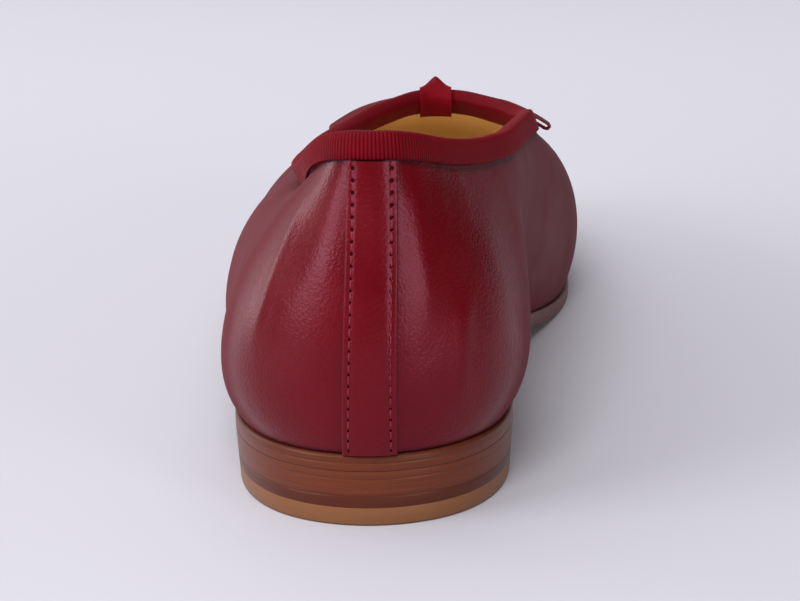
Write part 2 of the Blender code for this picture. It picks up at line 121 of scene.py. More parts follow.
OUTER_WALL = (
    Wall(0.13, 0.32, 0.05, 0.30, 0.10),
    Wall(0.15, 0.30, 0.08, 0.28, 0.08),
    Wall(0.19, 0.26, 0.15, 0.22, 0.02),
    Wall(0.20, 0.23, 0.23, 0.13, -0.15),
    Wall(0.19, 0.21, 0.30, 0.04, -0.40),
    Wall(0.17, 0.21, 0.33, 0.00, -0.58),
    Wall(0.17, 0.23, 0.34, 0.03, -0.48),
    Wall(0.17, 0.25, 0.33, 0.08, -0.10),
    Wall(0.16, 0.27, 0.31, 0.13, 0.25),
    Wall(0.15, 0.27, 0.30, 0.15, 0.50),
    Wall(0.14, 0.27, 0.35, 0.15, 0.70),
    Wall(0.12, 0.27, 0.37, 0.14, 0.82),
    Wall(0.10, 0.27, 0.39, 0.13, 0.91),
    Wall(0.08, 0.27, 0.40, 0.13, 0.97),
    Wall(0.07, 0.27, 0.40, 0.13, 1.00),
)


def smooth(share: np.ndarray | float) -> np.ndarray:
    """Eases from 0 to 1 with level ends."""
    share = np.clip(share, 0, 1)
    return share * share * (3 - 2 * share)


def closed_spline(knots: np.ndarray, values: np.ndarray, at: np.ndarray) -> np.ndarray:
    """Reads a cubic spline of period 1 through rows of values.

    Args:
        knots: Where the rows stand, rising from 0 to less than 1.
        values: One row for each knot.
        at: The places to read.

    Returns:
        One row for each place.
    """
    gaps = np.diff(np.append(knots, knots[0] + 1))
    before = np.roll(gaps, 1)
    slopes = (np.roll(values, -1, axis=0) - values) / gaps[:, None]
    bends = np.diag(2 * (before + gaps)) + np.roll(np.diag(gaps), 1, axis=1)
    bends = bends + np.roll(np.diag(before), -1, axis=1)
    curve = np.linalg.solve(bends, 6 * (slopes - np.roll(slopes, 1, axis=0)))
    at = np.mod(at, 1)
    i = np.searchsorted(knots, at, side="right") - 1
    j = (i + 1) % len(knots)
    ahead = ((knots[i] + gaps[i]) - at)[:, None]
    behind = (at - knots[i])[:, None]
    gap = gaps[i][:, None]
    straight = (values[i] * ahead + values[j] * behind) / gap
    bent = curve[i] * (ahead**3 / gap - ahead * gap) + curve[j] * (behind**3 / gap - behind * gap)
    return straight + bent / 6


def plan_normals(ahead: np.ndarray, behind: np.ndarray) -> np.ndarray:
    """Unit vectors that point out of a closed line which runs from the heel up its inner side."""
    run = ahead - behind
    out = np.stack([run[:, 1], -run[:, 0], np.zeros(len(run))], axis=1)
    return out / np.linalg.norm(out, axis=1)[:, None]


@dataclass
class Last:
    """The shoe's form: where the upper's skin, the feather line and the sole lie.

    A place round the shoe is a share u, from the heel's back up the inner side to the toe and back down
    the outer side. A place up the wall is a share v, 0 to 1 from the feather line to the binding and
    1 to 2 behind it.
    """

    feather_length: float = 0.243
    heel_width: float = 0.052
    ball_width: float = 0.0755
    collar_setback: float = 0.0045
    collar_length: float = 0.170
    collar_width: float = 0.046
    back_height: float = 0.0598
    instep_height: float = 0.0438
    wall: float = 0.0014
    gap: float = 0.0003
    seat_height: float = 0.0108
    sole_thickness: float = 0.0031
    sole_margin: float = 0.0007
    seat_length: float = 0.072
    tread_start: float = 0.160
    tread_end: float = 0.190
    toe_spring: float = 0.0050
    lip: float = 0.0053
    widening: tuple[float, float] = (0.20, 0.48)
    collar_fall: float = 0.72
    upright: float = 0.15
    packed_places: int = 88
    step: float = 1e-4
    knots: np.ndarray = field(init=False)
    values: np.ndarray = field(init=False)
    shift: np.ndarray = field(init=False)

    def __post_init__(self) -> None:
        """Works out the spline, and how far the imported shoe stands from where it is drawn."""
        self.knots, self.values = self._round_the_shoe()
        ring = self.plan_ring(np.arange(self.packed_places) / self.packed_places, self.sole_margin)
        low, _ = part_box("outsole")
        self.shift = np.array([low.x - ring[:, 0].min(), low.y - ring[:, 1].min(), 0.0])

    def _round_the_shoe(self) -> tuple[np.ndarray, np.ndarray]:
        """Knots and rows of the spline that runs once round the shoe.

        Returns:
            The knots, from 0 to less than 1, and a row of ten numbers for each.
        """
        sides = []
        for side, walls in ((1, INNER_WALL), (-1, OUTER_WALL)):
            rows = []
            for section, wall in zip(SECTIONS, walls):
                if side > 0:
                    out, collar, height = section.inner, section.collar_inner, section.height_inner
                else:
                    out, collar, height = -section.outer, -section.collar_outer, section.height_outer
                y = section.along * self.feather_length
                collar_y = self.collar_setback + section.collar_along * self.collar_length
                wide = smooth((section.along - self.widening[0]) / self.widening[1])
                width = self.heel_width + (self.ball_width - self.heel_width) * wide
                fall = smooth(collar_y / self.feather_length / self.collar_fall)
                height = height * (self.back_height + (self.instep_height - self.back_height) * fall)
                rows.append((out * width, y, collar * self.collar_width, collar_y, height, *wall))
            sides.append(np.array(rows, float))
        inner, outer = sides
        steps = np.linalg.norm(np.diff(inner[:, :2], axis=0), axis=1)
        steps = (steps + np.linalg.norm(np.diff(outer[:, :2], axis=0), axis=1)) / 2
        up = np.concatenate([[0], np.cumsum(steps)]) / steps.sum() / 2
        return np.concatenate([up, 1 - up[-2:0:-1]]), np.concatenate([inner, outer[-2:0:-1]])

    def sole_under(self, y: np.ndarray) -> np.ndarray:
        """Height of the sole's underside at a place along the shoe.

        Args:
            y: Distances from the back of the feather line.

        Returns:
            The heights.
        """
        y = np.asarray(y, float)
        ahead = (y - self.seat_length) / (self.tread_start - self.seat_length)
        arch = self.seat_height * (1 - smooth(ahead))
        toe = np.clip((y - self.tread_end) / (self.feather_length - self.tread_end), 0, None)
        return arch + self.toe_spring * toe**2

    def sole_top(self, y: np.ndarray) -> np.ndarray:
        """Height of the sole's upper face at a place along the shoe."""
        return self.sole_under(y) + self.sole_thickness

    def rows(self, u: np.ndarray) -> list[np.ndarray]:
        """The spline's rows at each place, and a step ahead of it and behind it."""
        return [closed_spline(self.knots, self.values, u + d) for d in (0, self.step, -self.step)]

    def plan_ring(self, u: np.ndarray, offset: float) -> np.ndarray:
        """The feather line in plan, moved out by an offset."""
        here, ahead, behind = (row[:, :2] for row in self.rows(u))
        return here + plan_normals(ahead, behind)[:, :2] * offset

    def wall_frame(self, u: np.ndarray) -> np.ndarray:
        """Each place's five points: the wall curve's four, from the feather line up, and the collar.

        Args:
            u: Places round the shoe.

        Returns:
            The points, by place, point and axis.
        """
        here, ahead, behind = self.rows(u)
        up = np.array([0.0, 0.0, 1.0])
        feather = np.stack([here[:, 0], here[:, 1], self.sole_top(here[:, 1]) + self.gap], axis=1)
        top = self.sole_top(here[:, 3]) + self.gap + here[:, 4]
        collar = np.stack([here[:, 2], here[:, 3], top], axis=1)
        lip = plan_normals(ahead[:, 2:4], behind[:, 2:4]) * here[:, 9:10] - up
        foot = collar + lip * (self.lip / np.linalg.norm(lip, axis=1))[:, None]
        way = np.linalg.norm(foot - feather, axis=1)[:, None]
        swell, rise, reach, drop = (here[:, k : k + 1] * way for k in (5, 6, 7, 8))
        low = feather + plan_normals(ahead[:, 0:2], behind[:, 0:2]) * swell + up * rise
        high = foot + plan_normals(ahead[:, 2:4], behind[:, 2:4]) * reach - up * drop
        return np.stack([feather, low, high, foot, collar], axis=1)

    @staticmethod
    def up_the_wall(points: np.ndarray, v: np.ndarray) -> np.ndarray:
        """Points at share v of each place's curve, and up its straight lip where v goes from 1 to 2.

        Args:
            points: Each place's five points.
            v: The share for each place.

        Returns:
            One point for each place.
        """
        on_curve = np.minimum(v, 1)[:, None]
        rest = 1 - on_curve
        point = (
            points[:, 0] * rest**3
            + points[:, 1] * 3 * on_curve * rest**2
            + points[:, 2] * 3 * on_curve**2 * rest
            + points[:, 3] * on_curve**3
        )
        return point + (points[:, 4] - points[:, 3]) * np.maximum(v - 1, 0)[:, None]

    def skin(self, u: np.ndarray, v: np.ndarray | float, offset: np.ndarray | float = 0.0) -> np.ndarray:
        """Points on the upper's outer face, or outside it.

        Args:
            u: Places round the shoe.
            v: Places up the wall.
            offset: How far the points stand out from the face.

        Returns:
            One point for each place.
        """
        u, v, offset = np.broadcast_arrays(*(np.asarray(a, float) for a in (u, v, offset)))
        here = self.wall_frame(u)
        ahead, behind = (self.up_the_wall(self.wall_frame(u + d), v) for d in (self.step, -self.step))
        lower = self.up_the_wall(here, np.maximum(v - self.step, 0))
        normal = np.cross(ahead - behind, self.up_the_wall(here, v + self.step) - lower)
        normal[:, 2] *= smooth(v / self.upright)
        normal /= np.linalg.norm(normal, axis=1)[:, None]
        return self.up_the_wall(here, v) + normal * offset[:, None]

    def below_collar(self, u: np.ndarray, distance: float) -> np.ndarray:
        """The share v that lies a distance below the collar's edge, along the leather, at each place.

        Args:
            u: Places round the shoe.
            distance: How far below the edge.

        Returns:
            The shares.
        """
        if distance <= self.lip:
            return np.full(len(u), 2 - distance / self.lip)
        shares = np.linspace(1, 0, 81)
        points = self.wall_frame(u)
        line = np.stack([self.up_the_wall(points, np.full(len(u), s)) for s in shares], axis=1)
        runs = np.cumsum(np.linalg.norm(np.diff(line, axis=1), axis=2), axis=1)
        lengths = np.concatenate([np.zeros((len(u), 1)), runs], axis=1)
        return np.array([np.interp(distance - self.lip, row, shares) for row in lengths])

    def at_collar(self, u: np.ndarray, distance: float, offset: float) -> np.ndarray:
        """Points a distance below the collar's edge and an offset outside the leather."""
        return self.skin(u, self.below_collar(u, distance), offset)

    def even_round_collar(self, count: int) -> tuple[np.ndarray, float]:
        """Places evenly spaced along the collar's edge, and the length of that edge.

        Args:
            count: How many places.

        Returns:
            The places and the length.
        """
        fine = np.linspace(0, 1, 4001)
        line = self.at_collar(fine, 0.0, 0.0)
        run = np.concatenate([[0], np.cumsum(np.linalg.norm(np.diff(line, axis=0), axis=1))])
        return np.interp(np.arange(count) / count * run[-1], run, fine), float(run[-1])

    def throat(self) -> np.ndarray:
        """The collar edge's foremost point, where the bow is tied."""
        return self.at_collar(np.array([0.5]), 0.0, 0.0)[0]


class Bench:
    """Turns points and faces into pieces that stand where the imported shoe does, and dresses them."""

    def __init__(self, last: Last) -> None:
        """Keeps the last whose shift every piece takes."""
        self.last = last

    def solid(
        self,
        name: str,
        points: np.ndarray,
        faces: Sequence[tuple[int, ...]],
        material: bpy.types.Material,
        marks: dict[str, np.ndarray] | None = None,
        sharp: float = 50.0,
    ) -> bpy.types.Object:
        """Makes one closed piece.

        Args:
            name: The piece's name.
            points: Its vertices, in the last's own place.
            faces: Its faces.
            material: Its finish.
            marks: Named numbers for its vertices, which a finish or a node tree reads.
            sharp: The angle in degrees past which an edge is shaded sharp.

        Returns:
            The new object, at the origin.
        """
        mesh = bpy.data.meshes.new(name)
        mesh.from_pydata((points + self.last.shift).tolist(), [], faces)
        shell = bmesh.new()
        shell.from_mesh(mesh)
        bmesh.ops.recalc_face_normals(shell, faces=shell.faces)
        shell.to_mesh(mesh)
        shell.free()
        for key, values in (marks or {}).items():
            attribute = mesh.attributes.new(key, "FLOAT", "POINT")
            attribute.data.foreach_set("value", np.asarray(values, np.float32))
        mesh.materials.append(material)
        mesh.shade_smooth()
        mesh.set_sharp_from_angle(angle=math.radians(sharp))
        piece = bpy.data.objects.new(name, mesh)
        bpy.context.scene.collection.objects.link(piece)
        return piece

    @staticmethod
    def ring_faces(sections: int, ring: int, closed: bool) -> list[tuple[int, ...]]:
        """Faces between sections of a ring of points, listed section by section.

        Args:
            sections: How many sections there are.
            ring: How many points each has.
            closed: Whether the last section joins the first, or both ends are capped.

        Returns:
            The faces.
        """
        here = np.arange(sections if closed else sections - 1)[:, None] * ring
        there = (np.arange(1, sections + 1 if closed else sections) % sections)[:, None] * ring
        k, after = np.arange(ring)[None, :], (np.arange(ring) + 1)[None, :] % ring
        quads = np.stack([here + k, there + k, there + after, here + after], axis=-1).reshape(-1, 4)
        faces = [tuple(q) for q in quads.tolist()]
        if not closed:
            end = (sections - 1) * ring
            faces.append(tuple(range(ring)))
            faces.append(tuple(end + p for p in reversed(range(ring))))
        return faces

    @staticmethod
    def plate_faces(rings: int, ring: int) -> list[tuple[int, ...]]:
        """Faces of a stack of rings, each from the heel up the inner side and back, closed at both ends.

        Args:
            rings: How many rings there are.
            ring: How many points each has.

        Returns:
            The faces.
        """
        faces = Bench.ring_faces(rings, ring, closed=False)[:-2]
        top = (rings - 1) * ring
        for k in range(ring // 2):
            across = [k, k + 1, (ring - k - 1) % ring, (ring - k) % ring]
            across = [p for i, p in enumerate(across) if p not in across[:i]]
            if len(across) > 2:
                faces.append(tuple(across))
                faces.append(tuple(top + p for p in reversed(across)))
        return faces

    @staticmethod
    def dress(piece: bpy.types.Object, slot: str, *nodes: str) -> bpy.types.Object:
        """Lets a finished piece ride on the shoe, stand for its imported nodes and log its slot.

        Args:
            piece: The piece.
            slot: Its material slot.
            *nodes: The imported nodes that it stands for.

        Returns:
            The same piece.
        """
        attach(piece, "root")
        if nodes:
            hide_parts(*nodes)
        LOG.info("%s: %d faces, slot %s", piece.name, len(piece.data.polygons), slot)
        return piece


class Board:
    """Lays out nodes in one tree with few words."""

    def __init__(self, tree: bpy.types.NodeTree) -> None:
        """Keeps the tree."""
        self.tree = tree

    def add(
        self, kind: str, inputs: dict[str | int, object] | None = None, **settings: object
    ) -> bpy.types.Node:
        """Adds a node, sets its properties, and links or sets its inputs.

        Args:
            kind: The node's type.
            inputs: Values or sockets, by the input's name or number.
            **settings: Properties of the node.

        Returns:
            The node.
        """
        node = self.tree.nodes.new(kind)
        for key, value in settings.items():
            setattr(node, key, value)
        for key, value in (inputs or {}).items():
            if isinstance(value, bpy.types.NodeSocket):
                self.tree.links.new(value, node.inputs[key])
            else:
                node.inputs[key].default_value = value
        return node

    def math(self, operation: str, *values: object) -> Socket:
        """A Math node's result."""
        node = self.add("ShaderNodeMath", {i: v for i, v in enumerate(values)}, operation=operation)
        return node.outputs[0]

    def mix(self, share: object, low: object, high: object) -> Socket:
        """A colour between two others.

        Args:
            share: How much of the second.
            low: The first colour.
            high: The second colour.

        Returns:
            The mixed colour.
        """
        node = self.add("ShaderNodeMix", {}, data_type="RGBA")
        for index, value in ((0, share), (6, low), (7, high)):
            if isinstance(value, bpy.types.NodeSocket):
                self.tree.links.new(value, node.inputs[index])
            else:
                node.inputs[index].default_value = (*value, 1.0) if index else value
        return node.outputs[2]


class Effects:
    """The shader groups that the finishes share, each built once."""

    def __init__(self) -> None:
        """Builds the groups."""
        self.grain = self._grain()
        self.drift = self._drift()
        self.streaks = self._streaks()
        self.mark = self._mark()

    @staticmethod
    def _group(
        name: str, inputs: dict[str, tuple[str, object]], outputs: dict[str, str]
    ) -> tuple[Board, bpy.types.Node, bpy.types.Node]:
        """Starts a group with named sockets.

        Args:
            name: The group's name.
            inputs: Each input's socket type and value.
            outputs: Each output's socket type.

        Returns:
            A board on the group, its input node and its output node.
        """
        tree = bpy.data.node_groups.new(name, "ShaderNodeTree")
        for key, (kind, value) in inputs.items():
            socket = tree.interface.new_socket(key, in_out="INPUT", socket_type=kind)
            socket.default_value = value
        for key, kind in outputs.items():
            tree.interface.new_socket(key, in_out="OUTPUT", socket_type=kind)
        board = Board(tree)
        return board, board.add("NodeGroupInput"), board.add("NodeGroupOutput")

    def _grain(self) -> bpy.types.NodeTree:
        """Fine leather grain: small cells between shallow creases, over a slow unevenness."""
        board, given, result = self._group(
            "leather_grain",
            {
                "Cell Size": ("NodeSocketFloat", 0.0006),
                "Unevenness Size": ("NodeSocketFloat", 0.004),
                "Unevenness": ("NodeSocketFloat", 0.5),
            },
            {"Height": "NodeSocketFloat"},
        )
        place = board.add("ShaderNodeTexCoord").outputs["Object"]
        small, half, large = (
            board.math("DIVIDE", share, given.outputs[size])
            for share, size in ((1.0, "Cell Size"), (0.5, "Cell Size"), (1.0, "Unevenness Size"))
        )
        cells = board.add(
            "ShaderNodeTexVoronoi", {"Vector": place, "Scale": small, "Randomness": 1.0}, feature="SMOOTH_F1"
        )
        fine = board.add("ShaderNodeTexNoise", {"Vector": place, "Scale": half, "Detail": 4.0})
        slow = board.add("ShaderNodeTexNoise", {"Vector": place, "Scale": large, "Detail": 2.0})
        cell = board.math("MULTIPLY", cells.outputs["Distance"], -0.6)
        grain = board.math("ADD", cell, board.math("MULTIPLY", fine.outputs[0], 0.5))
        swell = board.math("MULTIPLY", slow.outputs[0], given.outputs["Unevenness"])
        board.tree.links.new(board.math("ADD", grain, swell), result.inputs["Height"])
        return board.tree

    def _drift(self) -> bpy.types.NodeTree:
        """A colour that wanders slowly between two shades, and a mask of the same wandering."""
        board, given, result = self._group(
            "colour_drift",
            {
                "Light": ("NodeSocketColor", (0.5, 0.5, 0.5, 1.0)),
                "Dark": ("NodeSocketColor", (0.2, 0.2, 0.2, 1.0)),
                "Size": ("NodeSocketFloat", 0.01),
            },
            {"Color": "NodeSocketColor", "Mask": "NodeSocketFloat"},
        )
        place = board.add("ShaderNodeTexCoord").outputs["Object"]
        scale = board.math("DIVIDE", 1.0, given.outputs["Size"])
        noise = board.add("ShaderNodeTexNoise", {"Vector": place, "Scale": scale, "Detail": 3.0}).outputs[0]
        mask = board.add("ShaderNodeMapRange", {"Value": noise, "From Min": 0.3, "From Max": 0.7}).outputs[0]
        colour = board.mix(mask, given.outputs["Dark"], given.outputs["Light"])
        board.tree.links.new(mask, result.inputs["Mask"])
        board.tree.links.new(colour, result.inputs["Color"])
        return board.tree

    def _streaks(self) -> bpy.types.NodeTree:
        """Level fibres of pressed leather: fine streaks, and layers that differ in shade."""
        board, given, result = self._group(
            "pressed_layers",
            {
                "Layer": ("NodeSocketFloat", 0.0011),
                "Fibre": ("NodeSocketFloat", 0.00018),
            },
            {"Fibres": "NodeSocketFloat", "Layers": "NodeSocketFloat", "Height": "NodeSocketFloat"},
        )
        place = board.add("ShaderNodeTexCoord").outputs["Object"]
        axes = board.add("ShaderNodeSeparateXYZ", {0: place})
        waviness, along = 0.0004, 90.0
        wave = board.add("ShaderNodeTexNoise", {"Vector": place, "Scale": 60.0, "Detail": 1.0})
        level = board.math("ADD", axes.outputs[2], board.math("MULTIPLY", wave.outputs[0], waviness))
        drawn = board.add(
            "ShaderNodeCombineXYZ",
            {
                0: board.math("MULTIPLY", axes.outputs[0], along),
                1: board.math("MULTIPLY", axes.outputs[1], along),
                2: board.math("DIVIDE", level, given.outputs["Fibre"]),
            },
        )
        fibres = board.add("ShaderNodeTexNoise", {"Vector": drawn.outputs[0], "Scale": 1.0, "Detail": 3.0})
        layer = board.math("DIVIDE", level, given.outputs["Layer"])
        number = board.math("FLOOR", layer)
        shade = board.add("ShaderNodeTexWhiteNoise", {"W": number}, noise_dimensions="1D")
        seam = board.math("ABSOLUTE", board.math("SUBTRACT", board.math("FRACT", layer), 0.5))
        seam = board.add("ShaderNodeMapRange", {"Value": seam, "From Min": 0.42, "From Max": 0.5})
        height = board.math("SUBTRACT", board.math("MULTIPLY", fibres.outputs[0], 0.6), seam.outputs[0])
        board.tree.links.new(fibres.outputs[0], result.inputs["Fibres"])
        board.tree.links.new(shade.outputs["Value"], result.inputs["Layers"])
        board.tree.links.new(height, result.inputs["Height"])
        return board.tree

    def _mark(self) -> bpy.types.NodeTree:
        """Paints a shade over a colour where a piece's own vertices are marked, as painted shade in creases,
        needle holes, rib grooves and under the upper.
        """
        board, given, result = self._group(
            "marked_shade",
            {
                "Color": ("NodeSocketColor", (0.5, 0.5, 0.5, 1.0)),
                "Shade": ("NodeSocketColor", (0.1, 0.1, 0.1, 1.0)),
                "Strength": ("NodeSocketFloat", 1.0),
            },
            {"Color": "NodeSocketColor"},
        )
        found = board.add("ShaderNodeAttribute", attribute_name="mark")
        share = board.math("MULTIPLY", found.outputs["Fac"], given.outputs["Strength"])
        colour = board.mix(share, given.outputs["Color"], given.outputs["Shade"])
        board.tree.links.new(colour, result.inputs["Color"])
        return board.tree


class Easel:
    """A new material, its shader and a board to lay out its nodes."""

    def __init__(self, name: str, effects: Effects) -> None:
        """Makes the material.

        Args:
            name: The material's name.
            effects: The shared effects.
        """
        self.material = bpy.data.materials.new(name)
        self.material.use_nodes = True
        self.board = Board(self.material.node_tree)
        self.shader = self.material.node_tree.nodes["Principled BSDF"]
        self.effects = effects

    def link(self, value: Socket, name: str) -> None:
        """Feeds one of the shader's sockets."""
        self.material.node_tree.links.new(value, self.shader.inputs[name])

    def fix(self, **values: float | Colour) -> None:
        """Sets constants on the shader's own sockets, whose names are given with _ for a space."""
        for key, value in values.items():
            socket = self.shader.inputs[key.replace("_", " ")]
            socket.default_value = (*value, 1.0) if isinstance(value, tuple) else value

    def group(self, tree: bpy.types.NodeTree, **values: object) -> bpy.types.Node:
        """Adds a shared effect, its inputs given in the same way.

        Args:
            tree: The effect.
            **values: Its inputs.

        Returns:
            The new node.
        """
        node = self.board.add("ShaderNodeGroup", node_tree=tree)
        for key, value in values.items():
            socket = node.inputs[key.replace("_", " ")]
            if isinstance(value, bpy.types.NodeSocket):
                self.material.node_tree.links.new(value, socket)
            else:
                socket.default_value = (*value, 1.0) if isinstance(value, tuple) else value
        return node

    def paint(self, colour: Socket, shade: Colour) -> None:
        """Gives the shader a colour, with a shade where the vertices are marked."""
        mark = self.group(self.effects.mark, Color=colour, Shade=shade)
        self.link(mark.outputs["Color"], "Base Color")

    def raise_bump(self, height: Socket, strength: float, depth: float) -> None:
        """Gives the shader a relief."""
        bump = self.board.add("ShaderNodeBump", {"Strength": strength, "Distance": depth, "Height": height})
        self.link(bump.outputs[0], "Normal")


@dataclass(frozen=True)
class LeatherFinish:
    """Smooth dyed leather with a fine grain, less glossy where it is seen at a low angle."""

    name: str
    light: Colour
    dark: Colour
    # Colour painted where the vertices are marked: painted shade on the upper's creases and the strap's
    # needle holes.
    shade: Colour
    roughness: float = 0.31
    coat: float = 0.04
    cell: float = 0.0005
    bump: float = 0.24
    unevenness: float = 0.7
    level: float = 0.28
    tint: Colour = (1.0, 0.45, 0.65)
    edge_roughness: float = 0.42
    edge_facing: tuple[float, float] = (0.62, 0.88)
    roughness_drift: tuple[float, float] = (-0.04, 0.05)
    drift_size: float = 0.012
    unevenness_size: float = 0.006
    relief: float = 0.0004

    def build(self, effects: Effects) -> bpy.types.Material:
        """Makes the material."""
        easel = Easel(self.name, effects)
        drift = easel.group(effects.drift, Light=self.light, Dark=self.dark, Size=self.drift_size)
        easel.paint(drift.outputs["Color"], self.shade)
        grain = easel.group(
            effects.grain,
            Cell_Size=self.cell,
            Unevenness_Size=self.unevenness_size,
            Unevenness=self.unevenness,
        )
        easel.raise_bump(grain.outputs["Height"], self.bump, self.relief)
        rough = easel.board.add(
            "ShaderNodeMapRange",
            {
                "Value": drift.outputs["Mask"],
                "To Min": self.roughness + self.roughness_drift[0],
                "To Max": self.roughness + self.roughness_drift[1],
            },
        )
        edge = easel.board.add(
            "ShaderNodeMapRange",
            {
                "Value": easel.board.add("ShaderNodeLayerWeight", {"Blend": 0.5}).outputs["Facing"],
                "From Min": self.edge_facing[0],
                "From Max": self.edge_facing[1],
                "To Max": self.edge_roughness,
            },
            interpolation_type="SMOOTHSTEP",
        )
        easel.link(easel.board.math("ADD", rough.outputs[0], edge.outputs[0]), "Roughness")
        easel.fix(
            Coat_Weight=self.coat, Coat_Roughness=0.2, Specular_IOR_Level=self.level, Specular_Tint=self.tint
        )
        return easel.material


@dataclass(frozen=True)
class RibbonFinish:
    """Ribbed ribbon: matt threads with a little sheen, and painted shade in the grooves between its ribs."""

    name: str
    light: Colour
    dark: Colour
    # Colour painted as shade in the grooves between the ribs.
    painted_groove_shade: Colour
    drift_size: float = 0.004
    thread_scale: float = 5000.0
    bump: float = 0.25
    relief: float = 0.0001
    roughness: float = 0.6
    level: float = 0.1
    sheen: float = 0.04

    def build(self, effects: Effects) -> bpy.types.Material:
        """Makes the material."""
        easel = Easel(self.name, effects)
        drift = easel.group(effects.drift, Light=self.light, Dark=self.dark, Size=self.drift_size)
        easel.paint(drift.outputs["Color"], self.painted_groove_shade)
        place = easel.board.add("ShaderNodeTexCoord").outputs["Object"]
        threads = easel.board.add(
            "ShaderNodeTexNoise", {"Vector": place, "Scale": self.thread_scale, "Detail": 2.0}
        )
        easel.raise_bump(threads.outputs[0], self.bump, self.relief)
        easel.fix(Roughness=self.roughness, Specular_IOR_Level=self.level, Specular_Tint=(1.0, 0.4, 0.5))
        easel.fix(Sheen_Weight=self.sheen, Sheen_Roughness=0.4, Sheen_Tint=(1.0, 0.45, 0.5))
        return easel.material


@dataclass(frozen=True)
class StackedFinish:
    """The burnished edge of pressed leather layers."""

    name: str
    light: Colour
    dark: Colour
    layer: float = 0.0011
    roughness: float = 0.38
    bump: float = 0.5
    relief: float = 0.00012
    fibre_share: float = 0.9
    layer_share: float = 0.35
    darkening: float = 0.12
    level: float = 0.25
    coat: float = 0.03

    def build(self, effects: Effects) -> bpy.types.Material:
        """Makes the material."""
        easel = Easel(self.name, effects)
        board = easel.board
        streaks = easel.group(effects.streaks, Layer=self.layer)
        fibres = board.math("MULTIPLY", streaks.outputs["Fibres"], self.fibre_share)
        layers = board.math("MULTIPLY", streaks.outputs["Layers"], self.layer_share)
        share = board.math("SUBTRACT", board.math("ADD", fibres, layers), self.darkening)
        # Marked places take a quarter of the dark colour; on the sole's top under the upper this is painted
        # shade.
        easel.paint(board.mix(share, self.dark, self.light), tuple(c * 0.25 for c in self.dark))
        easel.raise_bump(streaks.outputs["Height"], self.bump, self.relief)
        easel.fix(Roughness=self.roughness, Specular_IOR_Level=self.level, Specular_Tint=(1.0, 0.75, 0.6))
        easel.fix(Coat_Weight=self.coat, Coat_Roughness=0.25)
        return easel.material


